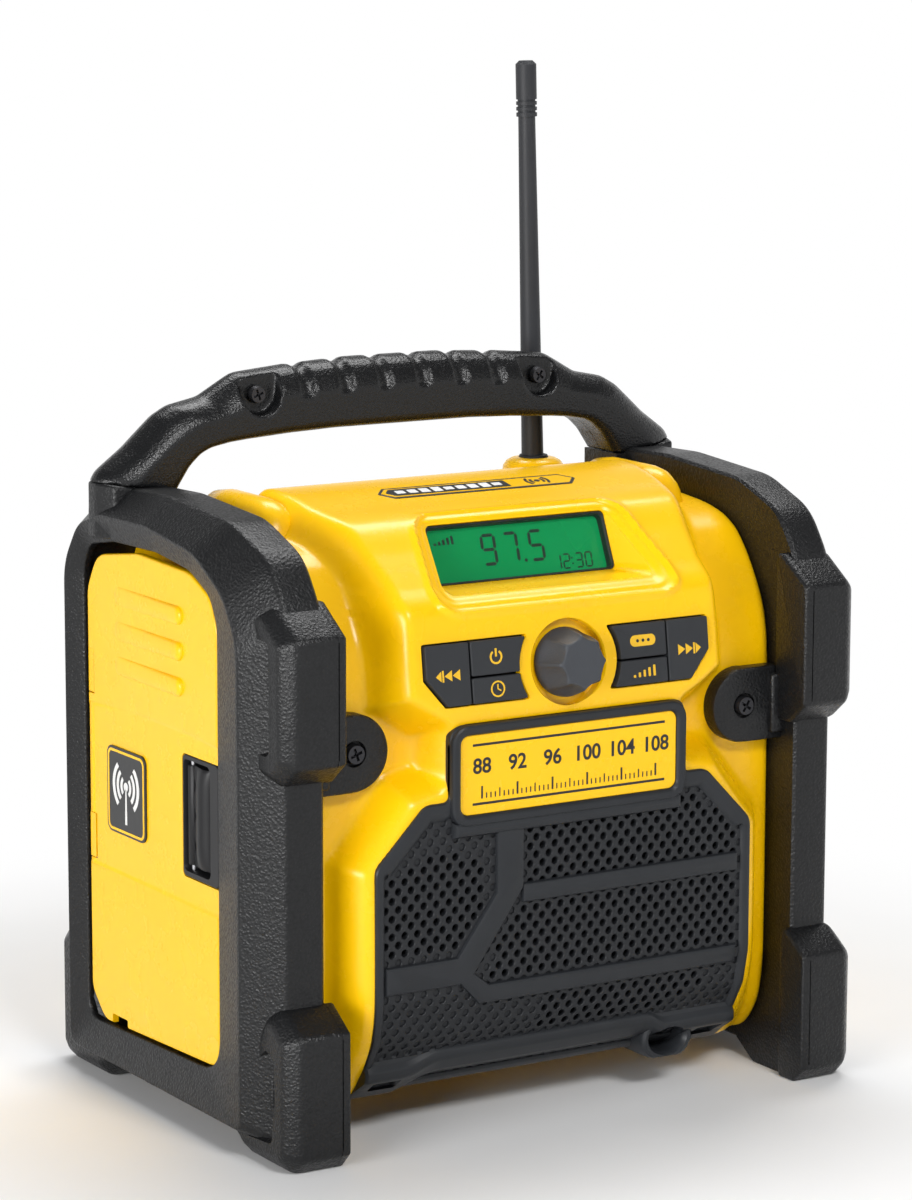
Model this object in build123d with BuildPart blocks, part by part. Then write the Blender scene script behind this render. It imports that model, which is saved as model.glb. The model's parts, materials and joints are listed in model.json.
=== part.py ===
from build123d import *
import os
from math import cos, radians, sin

# Jobsite radio: yellow two-part housing held between two black side frames that carry the feet,
# the bumpers and a two-shell carrying handle. Millimetres; +X to the user's right, +Y to the back,
# +Z up; the origin is on the ground under the middle of the radio.

os.makedirs("parts", exist_ok=True)

# ---------------------------------------------------------------- driving dimensions
# side frames
frame_face = 129.7          # outer face of each side frame, from the middle
frame_root = 103.0          # inner face of the frames, and outside of the housing's side walls
frame_shoulder = 118.4      # where the frame's outer chamfer starts
post_reach = 79.4           # front and back faces of the posts
lip_front = 64.4            # front edge of the flat outer lip
lip_back = 72.0             # back edge of the flat outer lip
frame_base = 7.0            # underside of the frame between its feet
frame_crown = 231.8         # highest point of the frame's top bar
frame_wall = 4.0            # wall left by the channel inside the frame
channel_depth = 13.0        # depth of that channel from the frame's inner face
opening_front = -51.5       # side opening of the frame
opening_back = 62.8
opening_bottom = 14.0
opening_top = 215.0
opening_radius = 20.0
# feet and bumpers
foot_reach = 92.0           # front face of the feet
foot_top = 50.5
foot_slope_top = 59.0
foot_inner = 99.5           # inner side of the feet and bumpers
foot_sole = 58.0            # where the flat sole ends, from the middle
foot_chamfer = 8.8
bumper_reach = 89.8
bumper_bottom = 139.5
bumper_top = 193.0
bumper_slope_top = 203.5
# screw ears on the frames
ear_x = frame_root - 17.5
ear_z = 146.1
ear_radius = 14.3
ear_front = -70.5
ear_recess = 2.0            # depth of the screw's seat in the ear
# housing
side_front = -64.0          # front of the housing beside the console
panel_front = -78.8         # front of the lower panel
housing_back = 76.0
housing_bottom = 14.0
wing_top = 221.0
wall = 2.8
split_y = 8.0               # joint between front and rear housings
console_half = 74.5         # half width of the raised console
lobe_half = 93.0            # half width of the lower panel
crest_half = 86.0           # half width of the ridge above the display
crest_y = -6.0
crest_z = 231.2
crest_front_y = -26.0
crest_front_z = 227.4
crest_back_y = 10.0         # where the top starts to fall towards the hand space
valley_y = 33.0             # where that slope ends
valley_floor = 206.0        # floor of the hand space under the handle
# control panel
key_tilt = 7.3              # degrees the control panel leans back
key_origin_y = -79.0
key_origin_z = 172.7
key_gap = 0.4               # clearance round each key
key_proud = 1.6
key_travel = 0.8
key_depth = 10.5            # how far a key's plunger reaches behind the panel
board_depth = 13.3          # front of the control board, behind the panel
mat_thickness = 1.8         # rubber mat between keys and board
board_thickness = 1.6
knob_radius = 12.8
knob_face_radius = 9.6
knob_height = 10.5
knob_recess_radius = 15.9
knob_recess_depth = 4.0
shaft_radius = 3.0
shaft_top = 5.0             # how far the shaft enters the knob, in front of the panel
board_post_x = 66.0
board_post_v = 7.0
# display
display_tilt = 23.6         # degrees the display leans back
display_y = -46.5
display_z = 210.4
window_half_width = 38.8
window_half_height = 11.0
lens_thickness = 1.6
# grille and name plate
grille_proud = 1.6
grille_plug = 3.0           # depth of the grille's plug inside the housing's window
grille_half = lobe_half - 10.7
grille_top = 126.2
grille_shoulder_x = lobe_half - 31.5
grille_shoulder_z = 104.8
grille_bottom = 16.0
rim_width = 4.0
plate_half = 47.3
plate_bottom = 120.6
plate_top = 150.2
plate_border = 4.0
plate_corner = 3.6
bar_proud = 1.8
hole_radius = 1.45
hole_pitch = 5.36
hole_row = 3.3
# speakers
speaker_x = lobe_half - 43.0
speaker_z = 80.0
speaker_radius = 35.0
speaker_screw_circle = 33.2
speaker_screw_radius = 0.9
cone_radius = 27.0
baffle_front = -69.0
baffle_thickness = 3.0
baffle_post_x = lobe_half - 11.6
baffle_half = lobe_half - 6.0
baffle_low = 59.0           # heights of the baffle's posts
baffle_high = 104.0
magnet_radius = 21.0
magnet_length = 14.0
basket_depth = 22.0
# handle
handle_y = 48.0             # joint plane between the two handle shells
handle_depth = 24.0
handle_seat = 232.9         # where the handle stands on the frames
handle_crown = 274.0
grip_underside = 246.0
arm_outer = 129.2
arm_inner = 98.0
handle_wall = 3.2
handle_screw_x = 63.2
handle_screw_z = 262.2
handle_recess = 6.0         # depth of the D-shaped screw recesses
stand_depth = 23.0          # stand of the handle on each frame, along Y
stand_recess = 3.0
stand_screw_x = 116.0
stand_screw_z = 224.0
tongue_half = 5.0           # half thickness of the handle's tongues
# left door and its compartment
door_face = 125.5           # outer face of the door, from the middle
door_thickness = 2.5
door_front = -50.0
door_back = 60.4
door_bottom = 25.0
door_top = 209.5
hinge_x = -122.9
hinge_y = 58.8
hinge_pin_radius = 1.2
hinge_clearance = 0.05
knuckle_radius = 2.5
tray_back_x = -88.0         # inner end of the compartment
tray_wall = 2.0
tray_front = -50.5
tray_rear = 56.0
tray_bottom = 28.0
tray_top = 188.0
tray_rim = 121.2            # rim that the door closes on, from the middle
flange_thickness = 2.0
seal_gap = 0.3
rib_heights = [187.3, 174.4, 161.2]
rib_centre = 13.0           # ribs and badge on the door, along Y
rib_length = 52.0
rib_width = 8.4
rib_proud = 1.0
latch_front = -44.0         # recess in the door for the latch
latch_back = -12.0
latch_bottom = 95.0
latch_top = 141.0
latch_floor = 112.0         # floor of the latch recess, from the middle
latch_pin_radius = 1.0
latch_pin_inset = 3.5       # latch pin's depth behind the door's face
latch_pin_setback = 5.0     # latch pin's distance from the recess's back edge
paddle_height = 38.0
aux_radius = 4.0
aux_z = 70.0
# battery bay and pack
pack_half = 37.5
pack_bottom = 56.0
pack_top = 100.0
pack_split = 86.0
pack_front = -16.0
pack_back = 84.0
pack_wall = 2.4
pack_clearance = 0.5
dock_wall = 3.5
dock_rim = 8.0              # width of the dock's flange beside its walls
dock_flange = 2.0
blade_thickness = 0.8
blade_half_height = 4.0
blade_reach = 6.0           # how far the blades enter the pack
board_stand_height = 8.0
main_board_half = 60.0
cell_radius = 9.1
cell_length = 65.0
cell_count = 5
button_proud = 1.5
rail_height = 4.0
rail_width = 2.0
# antenna
antenna_x = 79.3
antenna_y = 68.0
antenna_lean = 1.55         # degrees the whip leans towards the left
dome_radius = 10.0
dome_top = 221.0
socket_radius = 6.0
antenna_top_z = 384.0
whip_base_radius = 4.6
whip_tip_radius = 3.4
cap_radius = 4.15
cap_length = 22.0
# power inlet
inlet_x = 66.0
inlet_z = 34.0
inlet_radius = 5.5
# fasteners
screw_radius = 2.0
screw_head_radius = 3.9
screw_head_height = 2.4
fit = 0.05                  # radial play of screws and shafts in their holes
seat_gap = 0.3              # gap where rounded faces would touch

key_plane = Plane(
    origin=(0, key_origin_y, key_origin_z),
    x_dir=(1, 0, 0),
    z_dir=(0, -cos(radians(key_tilt)), sin(radians(key_tilt))),
)
display_plane = Plane(
    origin=(0, display_y, display_z),
    x_dir=(1, 0, 0),
    z_dir=(0, -cos(radians(display_tilt)), sin(radians(display_tilt))),
)


def across(x):
    """Plane facing +X at x; its sketches are drawn in (Y, Z)."""
    return Plane.YZ.offset(x)


def facing(y):
    """Plane facing the front at y; its sketches are drawn in (X, Z)."""
    return Plane.XZ.offset(-y)


def keep(piece, label):
    """Name a finished piece and write it to its own file."""
    piece.part.label = label
    export_step(piece.part, f"parts/{label}.step")


def block(x, y, z, mode=Mode.ADD):
    """Box between two values on each axis, in the current part."""
    with Locations(((x[0] + x[1]) / 2, (y[0] + y[1]) / 2, (z[0] + z[1]) / 2)):
        Box(abs(x[1] - x[0]), abs(y[1] - y[0]), abs(z[1] - z[0]), mode=mode)


def outline(points):
    """Closed straight-sided face in the current sketch."""
    Polygon(*points, align=None)


def mirrored(points):
    """Points of a right half followed by its mirror image, for a closed outline."""
    return points + [(-u, v) for u, v in reversed(points)]


def rod(plane, radius, length, centres=((0, 0),), mode=Mode.ADD):
    """Round bars that start at points of a plane and run along its normal."""
    with BuildSketch(plane) as section:
        with Locations(*centres):
            Circle(radius)
    extrude(section.sketch, amount=length, mode=mode)


def bar(plane, points, length, mode=Mode.ADD):
    """Straight-sided bar that starts on a plane and runs along its normal."""
    with BuildSketch(plane) as section:
        outline(points)
    extrude(section.sketch, amount=length, mode=mode)


def plank(plane, centre, size, length, radius=0.0, mode=Mode.ADD):
    """Rectangular or round-cornered bar, centred at a point of a plane."""
    with BuildSketch(plane) as section:
        with Locations(centre):
            if radius:
                RectangleRounded(size[0], size[1], radius)
            else:
                Rectangle(size[0], size[1])
    extrude(section.sketch, amount=length, mode=mode)


def pan_screws(plane, centres, length, head_radius=screw_head_radius, shank_radius=screw_radius):
    """Pan-head cross-slot screws: heads stand on the plane and shanks run behind it."""
    head_height = head_radius * screw_head_height / screw_head_radius
    rod(plane, head_radius, head_height, centres)
    rod(plane, shank_radius, -length, centres)
    with BuildSketch(plane.offset(head_height)) as slots:
        with Locations(*centres):
            Rectangle(head_radius * 1.3, head_radius * 0.28)
            Rectangle(head_radius * 0.28, head_radius * 1.3)
    extrude(slots.sketch, amount=-head_height * 0.6, mode=Mode.SUBTRACT)


def turned(origin, axis_dir, points):
    """Solid of revolution about a line along Y; points are (radius, distance along the axis)."""
    plane = Plane(origin=origin, x_dir=(1, 0, 0), z_dir=(0, 0, 1))
    with BuildSketch(plane) as section:
        outline([(radius, axis_dir * along) for radius, along in points])
    revolve(section.sketch, axis=Axis(origin, (0, 1, 0)))


# ---------------------------------------------------------------- forms of the housing
console_top = [
    (crest_y, crest_z),
    (crest_back_y, crest_z - 0.5),
    (valley_y, valley_floor),
    (60.0, valley_floor),
]
console_front = [
    (-56.0, housing_bottom),
    (-68.0, housing_bottom + 12.0),
    (panel_front + 2.8, housing_bottom + 26.0),
    (panel_front, housing_bottom + 40.0),
    (panel_front, 150.0),
    (-80.4, 161.4),
    (-77.5, 184.0),
    (-74.6, 196.0),
    (-42.0, 223.4),
    (crest_front_y, crest_front_z),
]
wing_profile = [
    (-50.0, housing_bottom),
    (-60.0, housing_bottom + 10.0),
    (side_front, housing_bottom + 26.0),
    (side_front, 176.0),
    (-56.5, 191.0),
    (-46.5, 205.6),
    (-32.0, 215.5),
    (8.0, 219.0),
    (58.0, wing_top),
    (70.0, wing_top - 5.0),
    (housing_back, wing_top - 17.0),
    (housing_back, housing_bottom + 8.0),
    (housing_back - 8.0, housing_bottom),
]
panel_mask = [
    (lobe_half, 0.0),
    (lobe_half, 106.0),
    (70.0, 133.5),
    (57.0, 136.5),
    (57.0, 150.0),
    (console_half, 162.0),
    (console_half, 214.0),
    (crest_half, 222.0),
    (crest_half, 250.0),
]


def front_form(inset):
    """Console, lower panel and crest, pulled in by an inset."""
    with BuildPart() as form:
        with BuildSketch(across(-lobe_half)):
            outline(console_front + console_top + [(60.0, 40.0), (0.0, 40.0), (-20.0, housing_bottom)])
            if inset:
                offset(amount=-inset)
        extrude(amount=2 * lobe_half)
        with BuildSketch(facing(100.0)):
            outline(mirrored(panel_mask))
            if inset:
                offset(amount=-inset)
        extrude(amount=200.0, mode=Mode.INTERSECT)
        with BuildSketch(Plane.XY):
            outline(
                mirrored([(lobe_half - 9.0 - inset / 2, -90.0), (lobe_half - 9.0 - inset / 2, panel_front),
                          (lobe_half - inset, panel_front + 12.0), (lobe_half - inset, 80.0)])
            )
        extrude(amount=260.0, mode=Mode.INTERSECT)
    return form.part


def side_form(inset):
    """Full-width body behind the console, pulled in by an inset, with its valley for the hand."""
    with BuildPart() as form:
        with BuildSketch(across(inset - frame_root)):
            outline(wing_profile)
            if inset:
                offset(amount=-inset)
        extrude(amount=2 * (frame_root - inset))
        with BuildSketch(across(-console_half - inset)):
            outline([(crest_back_y, crest_z + 9.0), (crest_back_y, crest_z - 0.5 - inset),
                     (valley_y, valley_floor - inset), (90.0, valley_floor - inset), (90.0, crest_z + 9.0)])
        extrude(amount=2 * (console_half + inset), mode=Mode.SUBTRACT)
    return form.part


outer_front = front_form(0)
outer_side = side_form(0)
inner_front = front_form(wall)
inner_side = side_form(wall)

with BuildPart() as housing_shell:
    add(outer_side)
    add(outer_front)
    add(inner_side, mode=Mode.SUBTRACT)
    add(inner_front, mode=Mode.SUBTRACT)


def grille_outline(margin):
    """Outline of grille and name-plate frame in (X, Z), grown by a margin."""
    frame_half = plate_half + plate_border
    points = mirrored([
        (grille_half - 0.4, grille_bottom),
        (grille_half, 53.0),
        (grille_half, grille_shoulder_z),
        (grille_shoulder_x, grille_top),
        (frame_half, grille_top),
        (frame_half, plate_top + plate_border),
    ])
    outline(points)
    if margin:
        offset(amount=margin, kind=Kind.INTERSECTION)


def front_band(outer, inner):
    """Layer that follows the front panel between two offsets from its surface."""
    with BuildPart() as band:
        with BuildSketch(across(-lobe_half)):
            outline([(u - outer, v) for u, v in console_front[:6]] + [(0.0, 161.4), (0.0, housing_bottom)])
        extrude(amount=2 * lobe_half)
        with BuildSketch(across(-lobe_half)):
            outline([(u - inner, v) for u, v in console_front[:6]] + [(1.0, 162.0), (1.0, housing_bottom - 1.0)])
        extrude(amount=2 * lobe_half, mode=Mode.SUBTRACT)
    return band.part


# ---------------------------------------------------------------- front housing
key_top = 11.4
key_low = -11.2
key_split = -1.6
outer_near = 43.2
outer_far = 61.6
inner_far = 42.5
inner_near = 21.2
key_outlines = {
    "outer": [(outer_near, key_top), (outer_far, key_top), (outer_far, -0.8), (outer_far - 8.6, key_low),
              (outer_near, key_low)],
    "upper": [(inner_near, key_top), (inner_far, key_top), (inner_far, key_split + 0.35),
              (inner_near + 1.2, key_split + 0.35)],
    "lower": [(inner_near + 1.2, key_split - 0.35), (inner_far, key_split - 0.35), (inner_far, key_low),
              (inner_near - 2.0, key_low)],
}
group_outline = [
    (inner_near - 2.0 - key_gap, key_low - key_gap),
    (inner_near - key_gap, key_top + key_gap),
    (outer_far + key_gap, key_top + key_gap),
    (outer_far + key_gap, -0.8 - key_gap),
    (outer_far - 8.6 + key_gap, key_low - key_gap),
]


def display_funnel(growth, deepest):
    """Bevelled recess in front of the display, grown by a wall."""
    with BuildPart() as funnel:
        with BuildSketch(display_plane.offset(deepest)):
            RectangleRounded(2 * (window_half_width + 0.6 + growth), 2 * (window_half_height + 0.5 + growth),
                             2.0 + growth)
        with BuildSketch(display_plane.offset(24.0)):
            with Locations((0, -4.6)):
                RectangleRounded(2 * (50.5 + growth), 2 * (18.6 + growth), 5.0 + growth)
        loft()
    return funnel.part



def both_sides(x, z):
    """The same place on both sides of the middle, for a facing plane."""
    return [(-x, z), (x, z)]


board_posts = both_sides(board_post_x, -board_post_v) + both_sides(board_post_x, board_post_v)
ear_places = both_sides(ear_x, ear_z)
baffle_posts = both_sides(baffle_post_x, baffle_low) + both_sides(baffle_post_x, baffle_high)
speaker_places = both_sides(speaker_x, speaker_z)
dock_half = pack_half + pack_clearance + dock_wall
dock_bottom = pack_bottom - pack_clearance - dock_wall
dock_top = pack_top + pack_clearance + dock_wall
dock_screw_places = both_sides(dock_half + dock_rim / 2, dock_bottom + 6.0) + both_sides(dock_half + dock_rim / 2, dock_top - 6.0)
plate_centre = (0, (plate_bottom + plate_top) / 2)
plate_height = plate_top - plate_bottom
funnel_wall = display_funnel(wall, -4.5) & (outer_front + outer_side)

# ---------------------------------------------------------------- housings
with BuildPart() as front_housing:
    add(housing_shell.part)
    # display recess: its wall is added inside the shell before the recess is cut
    add(funnel_wall)
    add(display_funnel(0, 0.0), mode=Mode.SUBTRACT)
    # pocket behind the recess holds lens, panel and light guide
    plank(display_plane.offset(-4.6), (0, 0), (2 * window_half_width + 1.2, 2 * window_half_height + 1.0), 5.0,
          mode=Mode.SUBTRACT)
    # knob recess with a floor behind it
    rod(key_plane.offset(-knob_recess_depth - wall), knob_recess_radius + wall, 4.0)
    rod(key_plane.offset(-knob_recess_depth), knob_recess_radius, 12.0, mode=Mode.SUBTRACT)
    rod(key_plane.offset(-12.0), 3.6, 12.0, mode=Mode.SUBTRACT)
    # posts for the control board
    rod(key_plane.offset(-board_depth), 3.0, board_depth - 1.5, board_posts)
    rod(key_plane.offset(-board_depth), 1.2 + fit, 8.0, board_posts, mode=Mode.SUBTRACT)
    # one window for each group of keys
    bar(key_plane.offset(-8.0), group_outline, 16.0, mode=Mode.SUBTRACT)
    bar(key_plane.offset(-8.0), [(-u, v) for u, v in group_outline], 16.0, mode=Mode.SUBTRACT)
    # window for the grille's plug
    with BuildSketch(facing(-50.0)):
        grille_outline(0.2 - rim_width)
    extrude(amount=40.0, mode=Mode.SUBTRACT)
    # seat for the frame round the name plate
    plank(facing(panel_front + 0.6), plate_centre,
          (2 * (plate_half + plate_border + fit), plate_height + 2 * (plate_border + fit)), 6.0, radius=7.0,
          mode=Mode.SUBTRACT)
    # bosses for the screws through the frames' ears
    rod(facing(side_front + wall), screw_radius + 2.6, -9.0, ear_places)
    rod(facing(side_front - 1.0), screw_radius + fit, -12.0, ear_places, mode=Mode.SUBTRACT)
    split(bisect_by=Plane.XZ.offset(-split_y), keep=Keep.TOP)
    # the compartment passes through the left wall
    block((-frame_root - 1.0, -frame_root + wall + 1.0), (tray_front - 0.5, tray_rear + 0.5),
          (tray_bottom - 0.5, tray_top + 0.5), mode=Mode.SUBTRACT)
keep(front_housing, "front_housing")

with BuildPart() as rear_housing:
    add(housing_shell.part)
    # dome under the antenna
    rod(Plane.XY.offset(dome_top - 21.0), dome_radius, 21.0, [(antenna_x, antenna_y)])
    split(bisect_by=Plane.XZ.offset(-split_y), keep=Keep.BOTTOM)
    rod(Plane.XY.offset(dome_top - 31.0), socket_radius + fit, 40.0, [(antenna_x, antenna_y)], mode=Mode.SUBTRACT)
    # opening for the battery dock, holes for its screws and for the power inlet
    block((-dock_half - seal_gap, dock_half + seal_gap), (housing_back - wall - 1.0, housing_back + 1.0),
          (dock_bottom - seal_gap, dock_top + seal_gap), mode=Mode.SUBTRACT)
    rod(facing(housing_back + 1.0), 1.5 + fit, 6.0, dock_screw_places, mode=Mode.SUBTRACT)
    rod(facing(housing_back + 1.0), inlet_radius + fit, 6.0, [(inlet_x, inlet_z)], mode=Mode.SUBTRACT)
    block((-frame_root - 1.0, -frame_root + wall + 1.0), (tray_front - 0.5, tray_rear + 0.5),
          (tray_bottom - 0.5, tray_top + 0.5), mode=Mode.SUBTRACT)
keep(rear_housing, "rear_housing")

# ---------------------------------------------------------------- grille and name plate
spine_bar = [
    (-31.2, 117.5), (-19.6, 117.5), (-19.6, 91.2), (-40.6, 61.3), (-34.5, 56.6), (76.3, 56.6),
    (76.3, 49.2), (-38.1, 49.2), (-46.6, 57.8), (-78.2, 57.8), (-78.2, 68.2), (-47.8, 68.2), (-31.2, 90.6),
]
upper_bar = [(-20.0, 85.2), (76.3, 85.2), (76.3, 92.4), (-20.0, 92.4)]
open_fields = [
    ((-78.0, -52.0), (71.0, 104.0)),
    ((-17.0, 74.5), (94.5, 116.0)),
    ((-17.0, 74.5), (59.0, 83.5)),
    ((-6.0, 62.0), (32.0, 47.5)),
]


def panel_layer(outer, inner, margin):
    """Layer over the front panel, cut to the grille's outline grown by a margin."""
    with BuildPart() as layer:
        add(front_band(outer, inner))
        with BuildSketch(facing(-45.0)):
            grille_outline(margin)
        extrude(amount=60.0, mode=Mode.INTERSECT)
    return layer.part


def bar_layer(points):
    """Raised bar that follows the front panel."""
    with BuildPart() as layer:
        add(front_band(bar_proud, -0.5))
        bar(facing(-45.0), points, 60.0, mode=Mode.INTERSECT)
    return layer.part


def hole_places():
    """Centres of the open perforations, in staggered rows."""
    places = []
    for (left, right), (low, high) in open_fields:
        for row in range(int(low / hole_row) + 1, int(high / hole_row) + 1):
            shift = (row % 2) * hole_pitch / 2
            for column in range(int((left - shift) / hole_pitch) - 1, int((right - shift) / hole_pitch) + 1):
                x = column * hole_pitch + shift
                if left <= x <= right:
                    places.append((x, row * hole_row))
    return places


grille_rim = panel_layer(grille_proud, 0.0, 0)
grille_field = panel_layer(grille_proud + 1.0, 0.3, -rim_width)
grille_plug_layer = panel_layer(0.0, -grille_plug, -rim_width)
with BuildPart() as grille:
    add(grille_rim)
    add(grille_field, mode=Mode.SUBTRACT)
    add(grille_plug_layer)
    add(bar_layer(spine_bar))
    add(bar_layer(upper_bar))
    rod(facing(-70.0), hole_radius, 16.0, hole_places(), mode=Mode.SUBTRACT)
    # frame round the name plate
    plank(facing(panel_front + 0.5), plate_centre,
          (2 * (plate_half + plate_border), plate_height + 2 * plate_border), 3.7, radius=7.0)
    plank(facing(panel_front - 0.1), plate_centre, (2 * plate_half + 0.2, plate_height + 0.2), 8.0,
          radius=plate_corner, mode=Mode.SUBTRACT)
keep(grille, "grille")

with BuildPart() as name_plate:
    plank(facing(panel_front - 0.1), plate_centre, (2 * plate_half, plate_height), 1.5, radius=plate_corner)
keep(name_plate, "name_plate")

# ---------------------------------------------------------------- display
with BuildPart() as display_lens:
    plank(display_plane.offset(-lens_thickness), (0, 0),
          (2 * window_half_width + 0.8, 2 * window_half_height + 0.6), lens_thickness, radius=2.0)
keep(display_lens, "display_lens")

with BuildPart() as lcd_panel:
    plank(display_plane.offset(-lens_thickness - 1.4), (0, 0),
          (2 * window_half_width + 0.8, 2 * window_half_height + 0.6), 1.4)
keep(lcd_panel, "lcd_panel")

with BuildPart() as light_guide:
    plank(display_plane.offset(-lens_thickness - 4.4), (0, 0),
          (2 * window_half_width + 0.8, 2 * window_half_height + 0.6), 3.0)
keep(light_guide, "light_guide")

# ---------------------------------------------------------------- keys, knob and control board
key_names = {
    "rewind_key": ("outer", -1),
    "power_key": ("upper", -1),
    "clock_key": ("lower", -1),
    "mode_key": ("upper", 1),
    "preset_key": ("lower", 1),
    "forward_key": ("outer", 1),
}
for key_name, (shape, side) in key_names.items():
    with BuildPart() as key:
        bar(key_plane.offset(-key_depth), [(side * u, v) for u, v in key_outlines[shape]], key_depth + key_proud)
        chamfer(key.faces().sort_by(Axis(key_plane.origin, key_plane.z_dir))[-1].edges(), 0.6)
    keep(key, key_name)

with BuildPart() as keypad_mat:
    plank(key_plane.offset(-board_depth), (0, 1.5), (2 * outer_far + 2, 20.0), mat_thickness)
    rod(key_plane.offset(-board_depth - 1), 19.5, 12.0, mode=Mode.SUBTRACT)
keep(keypad_mat, "keypad_mat")

with BuildPart() as knob:
    with BuildSketch(key_plane.offset(seat_gap - knob_recess_depth)):
        Circle(knob_radius)
    with BuildSketch(key_plane.offset(knob_height)):
        Circle(knob_face_radius)
    loft()
    chamfer(knob.faces().sort_by(Axis(key_plane.origin, key_plane.z_dir))[-1].edges(), 0.8)
    # shallow flutes round the grip
    for turn in range(8):
        angle = radians(45 * turn + 22.5)
        with BuildSketch(key_plane.offset(-1.0)) as flute_low:
            with Locations(((knob_radius + 0.4) * cos(angle), (knob_radius + 0.4) * sin(angle))):
                Circle(1.5)
        with BuildSketch(key_plane.offset(knob_height + 1.0)) as flute_high:
            with Locations(((knob_face_radius + 0.4) * cos(angle), (knob_face_radius + 0.4) * sin(angle))):
                Circle(1.5)
        loft([flute_low.sketch.face(), flute_high.sketch.face()], mode=Mode.SUBTRACT)
    rod(key_plane.offset(-knob_recess_depth - 1), shaft_radius + fit, shaft_top + 0.1 + knob_recess_depth + 1,
        mode=Mode.SUBTRACT)
keep(knob, "knob")

with BuildPart() as encoder_shaft:
    rod(key_plane.offset(-knob_recess_depth - wall - 1.5), shaft_radius, knob_recess_depth + wall + 1.5 + shaft_top)
keep(encoder_shaft, "encoder_shaft")

with BuildPart() as encoder_body:
    plank(key_plane.offset(-board_depth), (0, 0), (14.0, 14.0), board_depth - knob_recess_depth - wall)
    rod(key_plane.offset(-knob_recess_depth - wall - 1.6), shaft_radius + fit, 4.0, mode=Mode.SUBTRACT)
keep(encoder_body, "encoder_body")

with BuildPart() as control_board:
    plank(key_plane.offset(-board_depth - board_thickness), (0, 1.5), (2 * board_post_x + 6.0, 20.0), board_thickness)
    rod(key_plane.offset(-board_depth - board_thickness - 1), 1.2 + fit, 4.0, board_posts, mode=Mode.SUBTRACT)
keep(control_board, "control_board")

# ---------------------------------------------------------------- speakers
speaker_back = baffle_front + baffle_thickness
speaker_screw_places = [
    (x + speaker_screw_circle * cos(radians(45 + 90 * turn)), z + speaker_screw_circle * sin(radians(45 + 90 * turn)))
    for x, z in speaker_places
    for turn in range(4)
]
with BuildPart() as speaker_baffle:
    bar(facing(speaker_back), mirrored([(baffle_half, 38.0), (baffle_half, baffle_high), (baffle_half - 11.0, 118.0)]), baffle_thickness)
    rod(facing(baffle_front), 2.4, baffle_front - panel_front - wall, baffle_posts)
    rod(facing(speaker_back + 1.0), 1.2 + fit, 9.2, baffle_posts, mode=Mode.SUBTRACT)
    rod(facing(speaker_back + 1.0), cone_radius + 3.0, 8.0, speaker_places, mode=Mode.SUBTRACT)
    rod(facing(speaker_back + 1.0), speaker_screw_radius + fit, 3.5, speaker_screw_places, mode=Mode.SUBTRACT)
keep(speaker_baffle, "speaker_baffle")

for side, side_name in ((-1, "left"), (1, "right")):
    centre = (side * speaker_x, speaker_back, speaker_z)
    with BuildPart() as basket:
        turned(centre, 1, [(cone_radius + 2.0, 0), (speaker_radius, 0), (speaker_radius, 1.6),
                           (cone_radius + 4.5, 1.6), (magnet_radius - 3, basket_depth), (6.0, basket_depth),
                           (6.0, basket_depth - 1.6), (magnet_radius - 4.5, basket_depth - 1.6),
                           (cone_radius + 2.0, 2.4)])
        # ribs between the windows of the basket
        for turn in range(4):
            with BuildSketch(Plane(origin=(centre[0], speaker_back + basket_depth, centre[2]),
                                   x_dir=(cos(radians(90 * turn)), 0, sin(radians(90 * turn))),
                                   z_dir=(0, -1, 0))) as window:
                with Locations((25.0, 0)):
                    Rectangle(12.0, 20.0)
            extrude(window.sketch, amount=basket_depth - 6.0, mode=Mode.SUBTRACT)
        rod(facing(speaker_back + 2.0), speaker_screw_radius + fit, 3.0, speaker_screw_places, mode=Mode.SUBTRACT)
    keep(basket, f"{side_name}_speaker_basket")
    with BuildPart() as cone:
        turned(centre, 1, [(cone_radius + 1.7, 0.0), (cone_radius + 1.7, 0.8), (cone_radius - 3.0, 0.6),
                           (9.0, 14.0), (0.0, 10.0), (0.0, 9.2), (8.2, 13.0), (cone_radius - 3.6, -0.4),
                           (cone_radius - 0.6, -1.6)])
    keep(cone, f"{side_name}_speaker_cone")
    with BuildPart() as magnet:
        turned(centre, 1, [(0.0, basket_depth), (magnet_radius, basket_depth),
                           (magnet_radius, basket_depth + magnet_length), (0.0, basket_depth + magnet_length)])
    keep(magnet, f"{side_name}_speaker_magnet")

# ---------------------------------------------------------------- side frames
frame_outline = [
    (-post_reach, frame_base), (-post_reach, 200.0), (-66.0, 219.0), (-40.0, 228.5), (8.0, frame_crown),
    (46.0, 230.6), (66.0, 222.0), (post_reach, 203.0), (post_reach, frame_base),
]
lip_outline = [
    (-lip_front, frame_base + 4.5), (-lip_front, 186.0), (-52.0, 203.0), (-30.0, 214.0), (11.0, 220.6),
    (45.0, 219.5), (60.0, 213.5), (lip_back, 200.0), (lip_back, frame_base + 4.5),
]
foot_profile = [
    (-foot_reach, 6.0), (-86.0, 0.0), (-foot_sole, 0.0), (-44.0, frame_base + 1.0), (-60.0, 34.0), (-70.0, 55.0),
    (-post_reach, foot_slope_top), (-foot_reach, foot_top),
]
bumper_profile = [
    (-bumper_reach, bumper_bottom + 8.0), (-post_reach, bumper_bottom), (-60.0, bumper_bottom),
    (-60.0, bumper_slope_top), (-73.5, bumper_slope_top), (-bumper_reach, bumper_top),
]


def clipped(points, back):
    """Profile with nothing behind a value of Y, for the thin inner part of a foot or bumper."""
    return [(min(u, back), v) for u, v in points]


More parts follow.
